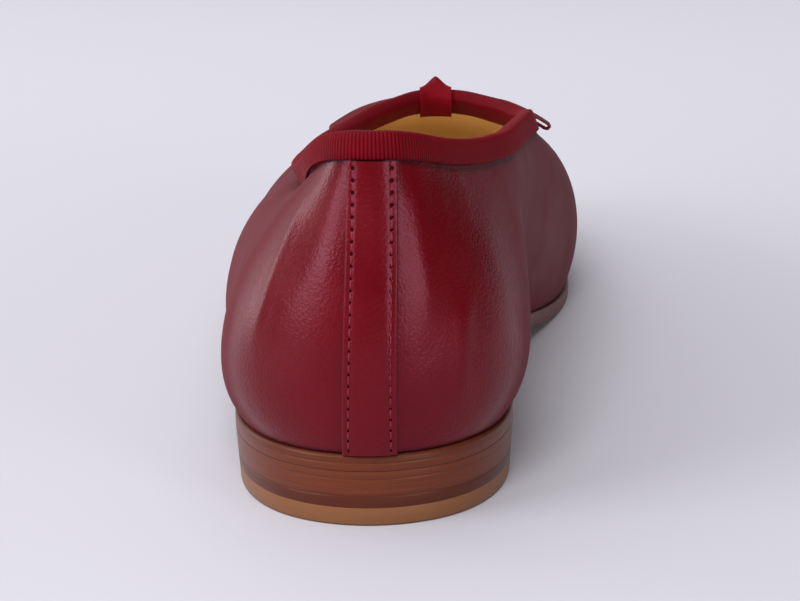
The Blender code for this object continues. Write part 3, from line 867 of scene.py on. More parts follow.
class Trees:
    """The Geometry Nodes trees for what repeats: ribs across a ribbon and stitches along a row."""

    def __init__(self) -> None:
        """Builds the trees."""
        self.ribs = self._ribs()
        self.stitches = self._stitches()

    @staticmethod
    def _start(name: str, sizes: dict[str, float]) -> tuple[Board, bpy.types.Node]:
        """Starts a tree with a geometry, a material and named sizes.

        Args:
            name: The tree's name.
            sizes: Its sizes and their values.

        Returns:
            A board on the tree and its input node.
        """
        tree = bpy.data.node_groups.new(name, "GeometryNodeTree")
        tree.interface.new_socket("Geometry", in_out="INPUT", socket_type="NodeSocketGeometry")
        tree.interface.new_socket("Material", in_out="INPUT", socket_type="NodeSocketMaterial")
        for key, value in sizes.items():
            socket = tree.interface.new_socket(key, in_out="INPUT", socket_type="NodeSocketFloat")
            socket.default_value = value
        tree.interface.new_socket("Geometry", in_out="OUTPUT", socket_type="NodeSocketGeometry")
        board = Board(tree)
        return board, board.add("NodeGroupInput")

    @staticmethod
    def _end(board: Board, given: bpy.types.Node, geometry: Socket) -> bpy.types.NodeTree:
        """Realizes what was made and gives it its material.

        Args:
            board: The tree's board.
            given: Its input node.
            geometry: What was made.

        Returns:
            The finished tree.
        """
        real = board.add("GeometryNodeRealizeInstances", {"Geometry": geometry})
        painted = board.add(
            "GeometryNodeSetMaterial", {"Geometry": real.outputs[0], "Material": given.outputs["Material"]}
        )
        board.add("NodeGroupOutput", {"Geometry": painted.outputs[0]})
        return board.tree

    def _ribs(self) -> bpy.types.NodeTree:
        """Raises ribs across a ribbon whose vertices know how far along it they lie."""
        board, given = self._start("ribbon_ribs", {"Rib Pitch": 0.00065, "Rib Height": 0.0001})
        along = board.add("GeometryNodeInputNamedAttribute", {"Name": "along"}, data_type="FLOAT")
        ribs = board.math("DIVIDE", along.outputs[0], given.outputs["Rib Pitch"])
        turn = board.math("MULTIPLY", ribs, math.pi)
        crest = board.math("POWER", board.math("ABSOLUTE", board.math("SINE", turn)), 0.7)
        lift = board.math("MULTIPLY", board.math("SUBTRACT", crest, 0.7), given.outputs["Rib Height"])
        normal = board.add("GeometryNodeInputNormal").outputs[0]
        offset = board.add("ShaderNodeVectorMath", {0: normal, "Scale": lift}, operation="SCALE")
        moved = board.add(
            "GeometryNodeSetPosition", {"Geometry": given.outputs["Geometry"], "Offset": offset.outputs[0]}
        )
        return self._end(board, given, moved.outputs[0])

    def _stitches(self) -> bpy.types.NodeTree:
        """Lays a stitch at every pitch of a line."""
        board, given = self._start(
            "stitch_row", {"Pitch": 0.0022, "Thread": 0.00042, "Stitch Length": 0.0016}
        )
        line = board.add("GeometryNodeMeshToCurve", {"Mesh": given.outputs["Geometry"]})
        spacing = {"Curve": line.outputs[0], "Length": given.outputs["Pitch"]}
        line = board.add("GeometryNodeResampleCurve", spacing, mode="LENGTH")
        ball = board.add("GeometryNodeMeshUVSphere", {"Segments": 8, "Rings": 7, "Radius": 0.5})
        size = board.add(
            "ShaderNodeCombineXYZ",
            {0: given.outputs["Thread"], 1: given.outputs["Thread"], 2: given.outputs["Stitch Length"]},
        )
        stitch = board.add(
            "GeometryNodeTransform", {"Geometry": ball.outputs["Mesh"], "Scale": size.outputs[0]}
        )
        turn = board.add(
            "FunctionNodeAlignRotationToVector",
            {"Vector": board.add("GeometryNodeInputTangent").outputs[0]},
            axis="Z",
        )
        laid = board.add(
            "GeometryNodeInstanceOnPoints",
            {"Points": line.outputs[0], "Instance": stitch.outputs[0], "Rotation": turn.outputs[0]},
        )
        return self._end(board, given, laid.outputs[0])

    @staticmethod
    def run(
        piece: bpy.types.Object,
        tree: bpy.types.NodeTree,
        material: bpy.types.Material,
        sizes: dict[str, float],
    ) -> bpy.types.Object:
        """Runs a tree on a piece and keeps the result as its plain mesh.

        Args:
            piece: The piece to change.
            tree: The tree.
            material: The finish that the tree sets.
            sizes: The tree's sizes, by name.

        Returns:
            The same piece.
        """
        modifier = piece.modifiers.new(tree.name, "NODES")
        modifier.node_group = tree
        sockets = {s.name: s.identifier for s in tree.interface.items_tree if s.in_out == "INPUT"}
        modifier[sockets["Material"]] = material
        for key, value in sizes.items():
            modifier[sockets[key]] = value
        piece.update_tag()
        graph = bpy.context.evaluated_depsgraph_get()
        made = bpy.data.meshes.new_from_object(
            piece.evaluated_get(graph), preserve_all_data_layers=True, depsgraph=graph
        )
        piece.modifiers.remove(modifier)
        old = piece.data
        piece.data = made
        bpy.data.meshes.remove(old)
        made.name = piece.name
        made.shade_smooth()
        return piece


@dataclass(frozen=True)
class Crease:
    """A soft ridge or trough on the upper, along points given as distances round and up the wall."""

    path: tuple[tuple[float, float], ...]
    width: float
    height: float

    def lift(self, around: np.ndarray, up: np.ndarray) -> np.ndarray:
        """How far the crease moves the leather at each place.

        Args:
            around: Distance round the shoe from the middle of the back, positive on the inner side.
            up: Distance up the wall from the feather line.

        Returns:
            The outward shift.
        """
        here = np.stack([around, up], axis=-1)
        nodes = np.array(self.path)
        runs = np.concatenate([[0], np.cumsum(np.linalg.norm(np.diff(nodes, axis=0), axis=1))])
        best, gone = np.full(around.shape, np.inf), np.zeros(around.shape)
        for k, (a, b) in enumerate(zip(nodes[:-1], nodes[1:])):
            way = b - a
            t = np.clip(((here - a) @ way) / (way @ way), 0, 1)
            far = np.linalg.norm(here - a - t[..., None] * way, axis=-1)
            nearer = far < best
            best = np.where(nearer, far, best)
            gone = np.where(nearer, (runs[k] + t * (runs[k + 1] - runs[k])) / runs[-1], gone)
        taper = smooth(gone / 0.3) * smooth((1 - gone) / 0.3)
        return self.height * taper * np.exp(-((best / self.width) ** 2))


CREASES = (
    Crease(((-0.0168, 0.052), (-0.0201, 0.040), (-0.0243, 0.026), (-0.0273, 0.016)), 0.0015, 0.00026),
    Crease(((-0.0125, 0.048), (-0.0150, 0.038), (-0.0185, 0.027)), 0.0026, -0.00016),
    Crease(((-0.0075, 0.054), (-0.0085, 0.042), (-0.0105, 0.028)), 0.0022, 0.00012),
    Crease(((0.0088, 0.056), (0.0095, 0.040), (0.0112, 0.028), (0.0120, 0.020)), 0.0022, 0.00024),
    Crease(((0.0200, 0.032), (0.0185, 0.019), (0.0178, 0.006)), 0.0024, 0.00035),
    Crease(((0.0135, 0.032), (0.0120, 0.022), (0.0105, 0.015)), 0.0026, -0.00015),
)


@dataclass
class Upper:
    """The leather upper with its creases, and the lining inside it."""

    last: Last
    bench: Bench
    leather: bpy.types.Material
    ochre: bpy.types.Material
    places: int = 640
    rows: int = 64
    bunching: float = 0.35
    leather_share: float = 0.55
    top_share: float = 0.83
    gather_height: float = 0.000015
    gather_waves: tuple[float, float] = (0.0125, 0.0079)
    gather_reach: float = 0.012
    # Width of the painted shadow lines, and how far below the binding the one under the band lies.
    shadow_line_width: float = 0.0005
    shadow_line_drop: float = 0.0002
    fade: float = 0.006

    def wall(self, places: int, rows: int, depth: float) -> tuple[np.ndarray, np.ndarray, np.ndarray]:
        """A grid of points on the wall, and their places round the shoe and up it.

        Args:
            places: How many places it has round the shoe.
            rows: How many rows it has up the wall.
            depth: How far under the outer face it lies.

        Returns:
            Points, distances round from the back and distances up, a row for each height.
        """
        t = np.arange(places) / places
        u = t - self.bunching * np.sin(2 * np.pi * t) / (2 * np.pi)
        shares = [*np.linspace(0, 1, rows), *np.linspace(1, 1 + self.top_share, 5)[1:]]
        grid = np.stack([self.last.skin(u, s, -depth) for s in shares])
        grid[0, :, 2] = self.last.sole_top(grid[0, :, 1]) + self.last.gap / 2
        run = np.linalg.norm(np.roll(grid, -1, axis=1) - grid, axis=2)
        around = np.concatenate([np.zeros((len(shares), 1)), np.cumsum(run, axis=1)], axis=1)
        length = around[:, -1:]
        around = np.where(around[:, :-1] > length / 2, around[:, :-1] - length, around[:, :-1])
        rise = np.linalg.norm(np.diff(grid, axis=0), axis=2)
        up = np.concatenate([np.zeros((1, places)), np.cumsum(rise, axis=0)])
        return grid, around, up

    def gathers(self, around: np.ndarray, down: np.ndarray) -> np.ndarray:
        """Soft puckers that the binding draws into the leather just below it.

        Args:
            around: Distance round the shoe.
            down: Distance below the lip.

        Returns:
            The outward shift.
        """
        long, short = self.gather_waves
        wave = np.sin(around * 2 * np.pi / long + 1.1) + 0.6 * np.sin(around * 2 * np.pi / short)
        return self.gather_height * wave * np.exp(-((down / self.gather_reach) ** 2))

    def build(self) -> None:
        """Makes the leather and its lining."""
        split = self.last.wall * self.leather_share
        outer, around, up = self.wall(self.places, self.rows, 0.0)
        deep, _, _ = self.wall(self.places, self.rows, 0.0005)
        normal = outer - deep
        normal /= np.linalg.norm(normal, axis=2)[..., None]
        lift = sum(crease.lift(around, up) for crease in CREASES)
        lift = lift + self.gathers(around, up[-5] - up)
        lift *= smooth(up / self.fade) * smooth((up[-1] - up) / self.fade)
        outer = outer + normal * lift[..., None]
        under, _, _ = self.wall(self.places, 24, split)
        down = up[-5] - up
        # Painted shadow: a dark line just under the binding's lower edge.
        mark = 0.8 * np.exp(-(((down - self.shadow_line_drop) / self.shadow_line_width) ** 2))
        # Painted shade along the feather line, in the crease where the upper meets the sole.
        mark = mark + 0.9 * np.exp(-((up / self.shadow_line_width) ** 2))
        leather = self.shell("upper_leather", outer, under, self.leather, mark)
        face, _, _ = self.wall(self.places // 2, 40, self.last.wall)
        back, _, _ = self.wall(self.places // 2, 40, split)
        lining = self.shell("upper_lining", back, face, self.ochre, np.zeros(back.shape[:2]))
        Bench.dress(leather, "burgundy_leather", "upper")
        Bench.dress(lining, "ochre_leather")

    def shell(
        self,
        name: str,
        outer: np.ndarray,
        inner: np.ndarray,
        material: bpy.types.Material,
        mark: np.ndarray,
    ) -> bpy.types.Object:
        """Makes a closed wall between two grids of points.

        Args:
            name: The piece's name.
            outer: The outer face, a row for each height.
            inner: The inner face, in the same form.
            material: The finish.
            mark: How far the finish's painted shade shows at each point of the outer face.

        Returns:
            The new object.
        """
        ring = np.concatenate([inner[::-1], outer])
        faces = Bench.ring_faces(outer.shape[1], len(ring), closed=True)
        points = ring.transpose(1, 0, 2).reshape(-1, 3)
        marks = np.concatenate([np.zeros(inner.shape[:2]), mark]).T.reshape(-1)
        return self.bench.solid(name, points, faces, material, {"mark": marks})


@dataclass
class BackStrap:
    """The strap over the back seam, with its two rows of stitches."""

    last: Last
    bench: Bench
    trees: Trees
    leather: bpy.types.Material
    yarn: bpy.types.Material
    foot_width: float = 0.0104
    head_width: float = 0.0096
    thickness: float = 0.0009
    edge: float = 0.0004
    row_inset: float = 0.00125
    pitch: float = 0.00222
    hole: tuple[float, float] = (0.00022, 0.00032)
    hole_depth: float = 0.00045
    # Painted shade inside the needle holes: its strength at the foot, and how much is added towards the top.
    painted_hole_shade: tuple[float, float] = (0.65, 0.35)
    groove_width: float = 0.00050
    groove_depth: float = 0.00012
    crown: tuple[float, float] = (0.00012, 0.00032)
    change: tuple[float, float] = (0.45, 0.5)
    crowding: tuple[float, float] = (5.0, 0.0006)
    back_share: float = 0.98
    thread: float = 0.00036
    stitch_length: float = 0.0015
    stitch_sink: float = 0.00006
    half_columns: int = 24
    rows: int = 480

    def place(self, share: float, x: np.ndarray) -> tuple[np.ndarray, float]:
        """Places round the shoe of points across the strap, and the wall's v, at a share of its height.

        Args:
            share: The share of the strap's height.
            x: Points across it, from its middle.

        Returns:
            The places and v.
        """
        fine = np.linspace(-0.06, 0.06, 241)
        head = float(self.last.below_collar(np.zeros(1), self.last.lip + self.last.gap)[0])
        v = head * share
        front = self.last.skin(fine, v, self.last.gap + self.thickness)[:, 0]
        return np.interp(front[120] + x, front, fine), v

    def width(self, share: float) -> float:
        """The strap's width at a share of its height."""
        return self.foot_width + (self.head_width - self.foot_width) * share

    def columns(self, width: float) -> tuple[np.ndarray, np.ndarray]:
        """Places across the strap, closest by the stitch rows, and how far its rounded edges fall there.

        Args:
            width: The strap's width.

        Returns:
            The places, from left to right, and the fall at each.
        """
        half = width / 2 - self.edge
        fine = np.linspace(0, half, 400)
        strength, spread = self.crowding
        crowd = np.cumsum(1 + strength * np.exp(-(((fine - (width / 2 - self.row_inset)) / spread) ** 2)))
        face = np.interp(np.linspace(crowd[0], crowd[-1], self.half_columns), crowd, fine)
        angle = np.linspace(0, np.pi / 2, 6)[1:]
        x = np.concatenate([face, half + self.edge * np.sin(angle)])
        drop = np.concatenate([np.zeros(len(face)), self.edge * (1 - np.cos(angle))])
        return np.concatenate([-x[:0:-1], x]), np.concatenate([drop[:0:-1], drop])

    def holes(self, length: float) -> np.ndarray:
        """Heights of the needle holes up the strap."""
        return np.arange(self.pitch * 0.4, length - 0.0004, self.pitch)

    def section(self, share: float, h: float, holes: np.ndarray) -> tuple[np.ndarray, np.ndarray]:
        """One section of the strap, with its stitch grooves and needle holes.

        Args:
            share: The share of the strap's height.
            h: The same height along the leather.
            holes: Heights of the needle holes.

        Returns:
            The section's points, and how much painted shade each takes inside the needle holes.
        """
        width = self.width(share)
        x, drop = self.columns(width)
        row = np.abs(np.abs(x) - (width / 2 - self.row_inset))
        high = float(smooth((share - self.change[0]) / self.change[1]))
        size, crown = (low + (top - low) * high for low, top in (self.hole, self.crown))
        pit = np.exp(-((np.hypot(row, np.min(np.abs(holes - h))) / size) ** 4))
        dent = np.exp(-((row / self.groove_width) ** 2)) * self.groove_depth
        rise = crown * (1 - (2 * x / width) ** 2)
        offset = self.last.gap + self.thickness - drop - dent - pit * self.hole_depth + rise
        u, v = self.place(share, x)
        front = self.last.skin(u, v, offset)
        back_u, _ = self.place(share, np.array([width / 2, -width / 2]) * self.back_share)
        ring = np.concatenate([front, self.last.skin(back_u, v, 0.0)])
        if share == 0:
            ring[:, 2] = self.last.sole_top(np.maximum(ring[:, 1], 0)) + self.last.gap / 2
        # Painted shade in the needle holes, stronger towards the strap's top.
        shade = self.painted_hole_shade[0] + self.painted_hole_shade[1] * high
        return ring, np.concatenate([pit * shade, [0.0, 0.0]])

    def build(self) -> None:
        """Makes the strap and its stitches."""
        shares = np.linspace(0, 1, self.rows)
        middle = np.concatenate([self.last.skin(*self._centre(s)) for s in shares])
        height = np.concatenate([[0], np.cumsum(np.linalg.norm(np.diff(middle, axis=0), axis=1))])
        holes = self.holes(height[-1])
        sections, marks = zip(*(self.section(share, h, holes) for share, h in zip(shares, height)))
        points = np.concatenate(sections)
        faces = Bench.ring_faces(len(sections), len(sections[0]), closed=False)
        dark = {"mark": np.concatenate(marks)}
        strap = self.bench.solid("back_strap_leather", points, faces, self.leather, dark)
        Bench.dress(strap, "burgundy_leather", "back_strap")
        for side, name in ((-1, "stitches_outer"), (1, "stitches_inner")):
            self.stitch(side, name, holes, height)

    def _centre(self, share: float) -> tuple[np.ndarray, float, float]:
        """The strap's middle at a share of its height.

        Args:
            share: The share of the strap's height.

        Returns:
            The place, v and how far the strap's face stands off the leather.
        """
        u, v = self.place(share, np.zeros(1))
        return u, v, self.last.gap + self.thickness

    def stitch(self, side: int, name: str, holes: np.ndarray, height: np.ndarray) -> None:
        """Makes one row of stitches, each between two needle holes.

        Args:
            side: 1 for the inner side, -1 for the outer.
            name: The row's name.
            holes: Heights of the needle holes.
            height: Heights of the strap's rows.
        """
        between = (holes[:-1] + holes[1:]) / 2 + 0.0001
        points = []
        for h in between:
            share = float(np.interp(h, height, np.linspace(0, 1, self.rows)))
            u, v = self.place(share, np.array([side * (self.width(share) / 2 - self.row_inset)]))
            points.append(self.last.skin(u, v, self.last.gap + self.thickness - self.stitch_sink)[0])
        line = np.array(points) + self.last.shift
        mesh = bpy.data.meshes.new(name)
        mesh.from_pydata(line.tolist(), [(k, k + 1) for k in range(len(line) - 1)], [])
        row = bpy.data.objects.new(name, mesh)
        bpy.context.scene.collection.objects.link(row)
        sizes = {"Pitch": self.pitch, "Thread": self.thread, "Stitch Length": self.stitch_length}
        Trees.run(row, self.trees.stitches, self.yarn, sizes)
        Bench.dress(row, "burgundy_leather")


@dataclass
class CollarBinding:
    """The ribbed ribbon folded over the collar's edge."""

    last: Last
    bench: Bench
    trees: Trees
    ribbon: bpy.types.Material
    thickness: float = 0.0006
    pitch: float = 0.00065
    rib_height: float = 0.00016
    columns_a_rib: int = 4

    def profile(self) -> list[tuple[float, float]]:
        """The ribbon's section: distance below the collar's edge and offset from the leather, clockwise.

        Returns:
            The section's points.
        """
        last = self.last
        outside, inside = last.gap + self.thickness, -(last.wall + last.gap + self.thickness)
        middle, half = (outside + inside) / 2, (outside - inside) / 2
        turn = np.linspace(0, np.pi, 7)
        fold = [(self.thickness * (1 - math.sin(a)), middle + half * math.cos(a)) for a in turn]
        face = [
            (last.lip, 0.00005),
            (last.lip + 0.00005, outside * 0.7),
            (last.lip - 0.0003, outside + 0.00005),
            (last.lip * 0.72, outside + 0.0001),
            (last.lip * 0.5, outside + 0.0001),
            (last.lip * 0.28, outside + 0.00005),
        ]
        back = [
            (last.lip * 0.35, inside),
            (last.lip * 0.7, inside),
            (last.lip, inside),
            (last.lip, -last.wall),
        ]
        under = [(self.thickness + 0.0003, -last.wall), (self.thickness + 0.0003, 0.00005)]
        return face + fold + back + under

    def build(self) -> None:
        """Makes the band, then raises its ribs."""
        _, length = self.last.even_round_collar(8)
        ribs = round(length / self.pitch)
        u, _ = self.last.even_round_collar(ribs * self.columns_a_rib)
        rings = [self.last.at_collar(u, distance, offset) for distance, offset in self.profile()]
        count = len(rings)
        points = np.stack(rings[::-1], axis=1).reshape(-1, 3)
        along = np.repeat(np.arange(len(u)) / len(u) * length, count)
        faces = Bench.ring_faces(len(u), count, closed=True)
        phase = np.abs(np.sin(np.pi * along / (length / ribs)))
        # Painted shade in the grooves between the ribs.
        marks = {"along": along, "mark": (1 - phase) ** 2}
        band = self.bench.solid("collar_ribbon", points, faces, self.ribbon, marks, sharp=60)
        sizes = {"Rib Pitch": length / ribs, "Rib Height": self.rib_height}
        Trees.run(band, self.trees.ribs, self.ribbon, sizes)
        Bench.dress(band, "burgundy_ribbon", "collar_binding")


class Side(Enum):
    """The two sides of the bow."""

    INNER = 1
    OUTER = -1


@dataclass
class Bow:
    """The flat bow: two ribbon loops and the knot that hooks them over the binding."""

    last: Last
    bench: Bench
    trees: Trees
    ribbon: bpy.types.Material
    span: float = 0.049
    setback: float = 0.0010
    width: float = 0.0080
    waist: float = 0.0050
    loop_height: float = 0.0012
    flare: float = 0.6
    inner_sag: float = -0.0010
    outer_sag: float = 0.0008
    inner_sweep: float = 0.0020
    outer_sweep: float = -0.0050
    thickness: float = 0.0005
    knot_width: float = 0.0074
    knot_height: float = 0.0043
    knot_thickness: float = 0.0012
    binding: float = 0.0006
    pitch: float = 0.00065
    rib_height: float = 0.00009
    pinch: float = 0.00012
    knot_sections: int = 41

    def vamp(self) -> BVHTree:
        """The skin of the vamp round the throat, for the bow to lie on.

        Returns:
            A tree of the skin's faces.
        """
        u = np.linspace(0.38, 0.62, 241)
        v = np.concatenate([np.linspace(0, 1, 61), [2 - (self.binding + self.last.gap) / self.last.lip]])
        grid = np.stack([self.last.skin(u, s) for s in v])
        ring = len(u)
        faces = [
            (r * ring + c, r * ring + c + 1, (r + 1) * ring + c + 1, (r + 1) * ring + c)
            for r in range(len(v) - 1)
            for c in range(ring - 1)
        ]
        return BVHTree.FromPolygons([Vector(p) for p in grid.reshape(-1, 3)], faces)

    def line(self) -> np.ndarray:
        """The loop's path: reach from the middle and height over the vamp, out below and back above.

        Returns:
            The path's points.
        """
        last = self.last
        start, radius = self.knot_width / 2 + last.gap, self.loop_height / 2
        end = self.span / 2 - radius
        floor = 2 * last.gap + self.binding + self.thickness / 2
        out = np.linspace(start, end, 80)
        turn = np.linspace(-np.pi / 2, np.pi / 2, 18)[1:-1]
        above = 2 * radius * (0.75 + 0.25 * smooth((out - start) / (end - start) * 1.6))
        return np.concatenate(
            [
                np.column_stack([out, np.full(len(out), floor)]),
                np.column_stack([end + radius * np.cos(turn), floor + radius * (1 + np.sin(turn))]),
                np.column_stack([out, floor + above])[::-1],
            ]
        )

    def loop(self, side: Side, vamp: BVHTree) -> None:
        """Makes one hollow loop of ribbed ribbon.

        Args:
            side: Which side of the bow it lies on.
            vamp: The skin under it.
        """
        last, middle = self.last, self.last.throat()
        start, end = self.knot_width / 2 + last.gap, self.span / 2 - self.loop_height / 2
        floor = 2 * last.gap + self.binding + self.thickness / 2
        inner = side is Side.INNER
        sweep, sag = (self.inner_sweep, self.inner_sag) if inner else (self.outer_sweep, self.outer_sag)
        rough = self.line()
        run = np.concatenate([[0], np.cumsum(np.linalg.norm(np.diff(rough, axis=0), axis=1))])
        ribs = round(run[-1] / self.pitch)
        along = np.linspace(0, run[-1], ribs * 4 + 1)
        line = np.column_stack([np.interp(along, run, rough[:, k]) for k in (0, 1)])
        way = np.gradient(line, axis=0)
        outward = np.column_stack([way[:, 1], -way[:, 0]]) / np.linalg.norm(way, axis=1)[:, None]
        across = np.linspace(-0.5, 0.5, 13)
        edges = [(1, a) for a in across] + [(-1, a) for a in across[::-1]]
        points = []
        for (reach, height), out in zip(line, outward):
            gone = (reach - start) / (end - start)
            width = self.waist + (self.width - self.waist) * smooth(gone * 1.8)
            centre = middle[1] + self.setback + self.width / 2 - sweep * gone**2
            for face, place in edges:
                s = reach + out[0] * face * self.thickness / 2
                h = height + out[1] * face * self.thickness / 2
                h = floor + (h - floor) * (1 + self.flare * place) - sag * gone**2
                pinch = self.pinch * math.cos(place * 6 * math.pi) * (1 - float(smooth(gone * 2.5)))
                over = Vector((middle[0] + side.value * s, centre + place * width, middle[2] + 0.06))
                hit, normal, _, _ = vamp.ray_cast(over, Vector((0, 0, -1)))
                points.append(np.array(hit + normal * (h + pinch * (height > floor + 0.0005))))
        ring = len(edges)
        faces = Bench.ring_faces(len(line), ring, closed=True)
        # Painted shade in the grooves between the ribs.
        mark = (1 - np.abs(np.sin(np.pi * along / (run[-1] / ribs)))) ** 2
        name = f"bow_ribbon_{side.name.lower()}"
        marks = {"along": np.repeat(along, ring), "mark": np.repeat(mark, ring)}
        loop = self.bench.solid(name, np.array(points), faces, self.ribbon, marks, sharp=60)
        sizes = {"Rib Pitch": run[-1] / ribs, "Rib Height": self.rib_height}
        Trees.run(loop, self.trees.ribs, self.ribbon, sizes)
        Bench.dress(loop, "burgundy_ribbon", f"bow_loop_{side.name.lower()}")

    def knot_profile(self, full: float) -> list[tuple[float, float]]:
        """The knot's section: distance below the collar's edge and offset from the leather.

        Args:
            full: How full the knot is there, 0 at its ends and 1 in its middle.

        Returns:
            The section's points, over the bow, down the inside and back under the binding.
        """
        last = self.last
        outside = 2 * last.gap + self.binding
        inside = -(last.wall + 2 * last.gap + self.binding)
        foot = last.lip + 2 * last.gap
        thick = self.knot_thickness * (0.4 + 0.6 * full)
        front = self.setback + (self.width + self.waist) / 2 + last.gap + thick
        crown = outside + self.thickness + (self.knot_height - self.thickness) * full
        return [
            (front, last.gap),
            (front, crown * 0.5),
            (front - thick, crown * 0.85),
            (front * 0.6, crown),
            (front * 0.3, crown),
            (0, crown * 0.75),
            (-last.gap - self.thickness, crown * 0.3),
            (-last.gap - self.thickness, -last.wall),
            (0, inside - self.thickness),
            (last.lip, inside - self.thickness),
            (last.lip, inside),
            (last.gap, inside),
            (-last.gap, -last.wall),
            (-last.gap, 0),
            (last.gap, outside),
            (foot, outside),
            (foot, last.gap),
        ]

    def knot(self) -> None:
        """Makes the knot: a roll of ribbon, peaked in its middle, that hooks over the binding."""
        last, sections = self.last, []
        fine = np.linspace(0.46, 0.54, 161)
        for place in np.linspace(-1, 1, self.knot_sections):
            profile = self.knot_profile(1 - float(smooth(abs(place) ** 0.8)))
            x = last.throat()[0] + place * self.knot_width / 2
            rows = [last.at_collar(fine, distance, offset)[::-1] for distance, offset in profile]
            sections.append([[x, *(np.interp(x, row[:, 0], row[:, k]) for k in (1, 2))] for row in rows])
        rings = np.array(sections)
        faces = Bench.ring_faces(len(rings), rings.shape[1], closed=False)
        points = rings.reshape(-1, 3)
        plain = {"mark": np.zeros(len(points))}
        knot = self.bench.solid("bow_knot_ribbon", points, faces, self.ribbon, plain, sharp=80)
        Bench.dress(knot, "burgundy_ribbon", "bow_knot")

    def build(self) -> None:
        """Makes both loops and the knot."""
        vamp = self.vamp()
        for side in Side:
            self.loop(side, vamp)
        self.knot()


@dataclass
class Sole:
    """The full leather sole and the sock that lines the shoe's floor."""

    last: Last
    bench: Bench
    edge: bpy.types.Material
    tread: bpy.types.Material
    ochre: bpy.types.Material
    places: int = 480
    insole_thickness: float = 0.0020
    sock_clearance: float = 0.00005

    def stack(self, levels: Sequence[tuple[float, float]]) -> np.ndarray:
        """Rings from bottom to top, each the feather line moved out and raised from the sole's underside.

        Args:
            levels: Each ring's offset and its height over the underside.

        Returns:
            The rings' points, one ring after another.
        """
        u = np.arange(self.places) / self.places
        rings = []
        for offset, lift in levels:
            ring = self.last.plan_ring(u, offset)
            rings.append(np.column_stack([ring, self.last.sole_under(ring[:, 1]) + lift]))
        return np.concatenate(rings)

    def build(self) -> None:
        """Makes the sole and the sock."""
        last, margin, thick = self.last, self.last.sole_margin, self.last.sole_thickness
        levels = [
            (margin - 0.0040, 0.0),
            (margin - 0.00025, 0.0),
            (margin - 0.00008, 0.00004),
            (margin, 0.00018),
            (margin, thick * 0.45),
            (margin, thick - 0.0006),
            (margin - 0.00004, thick - 0.0004),
            (margin - 0.0002, thick - 0.00012),
            (margin - 0.0005, thick),
            (margin - 0.0030, thick),
        ]
        points = self.stack(levels)
        faces = Bench.plate_faces(len(levels), self.places)
        level = np.repeat(np.arange(len(levels)), self.places)
        # The top ring, which runs under the upper's edge, is marked for painted shade.
        mark = np.isin(level, (len(levels) - 1,)).astype(float)
        sole = self.bench.solid("sole_leather", points, faces, self.edge, {"mark": mark}, sharp=60)
        sole.data.materials.append(self.tread)
        for face in sole.data.polygons:
            if all(level[v] <= 1 for v in face.vertices):
                face.material_index = 1
        Bench.dress(sole, "stacked_leather", "outsole")
        inset = -(last.wall + self.sock_clearance)
        top = thick + last.gap + self.insole_thickness
        levels = [
            (inset, thick + 0.0001),
            (inset, top - 0.0004),
            (inset - 0.0003, top - 0.0001),
            (inset - 0.0010, top),
            (inset - 0.0060, top + 0.0001),
        ]
        points = self.stack(levels)
        faces = Bench.plate_faces(len(levels), self.places)
        plain = {"mark": np.zeros(len(points))}
        sock = self.bench.solid("sock_lining", points, faces, self.ochre, plain, sharp=60)
        Bench.dress(sock, "ochre_leather", "insole")


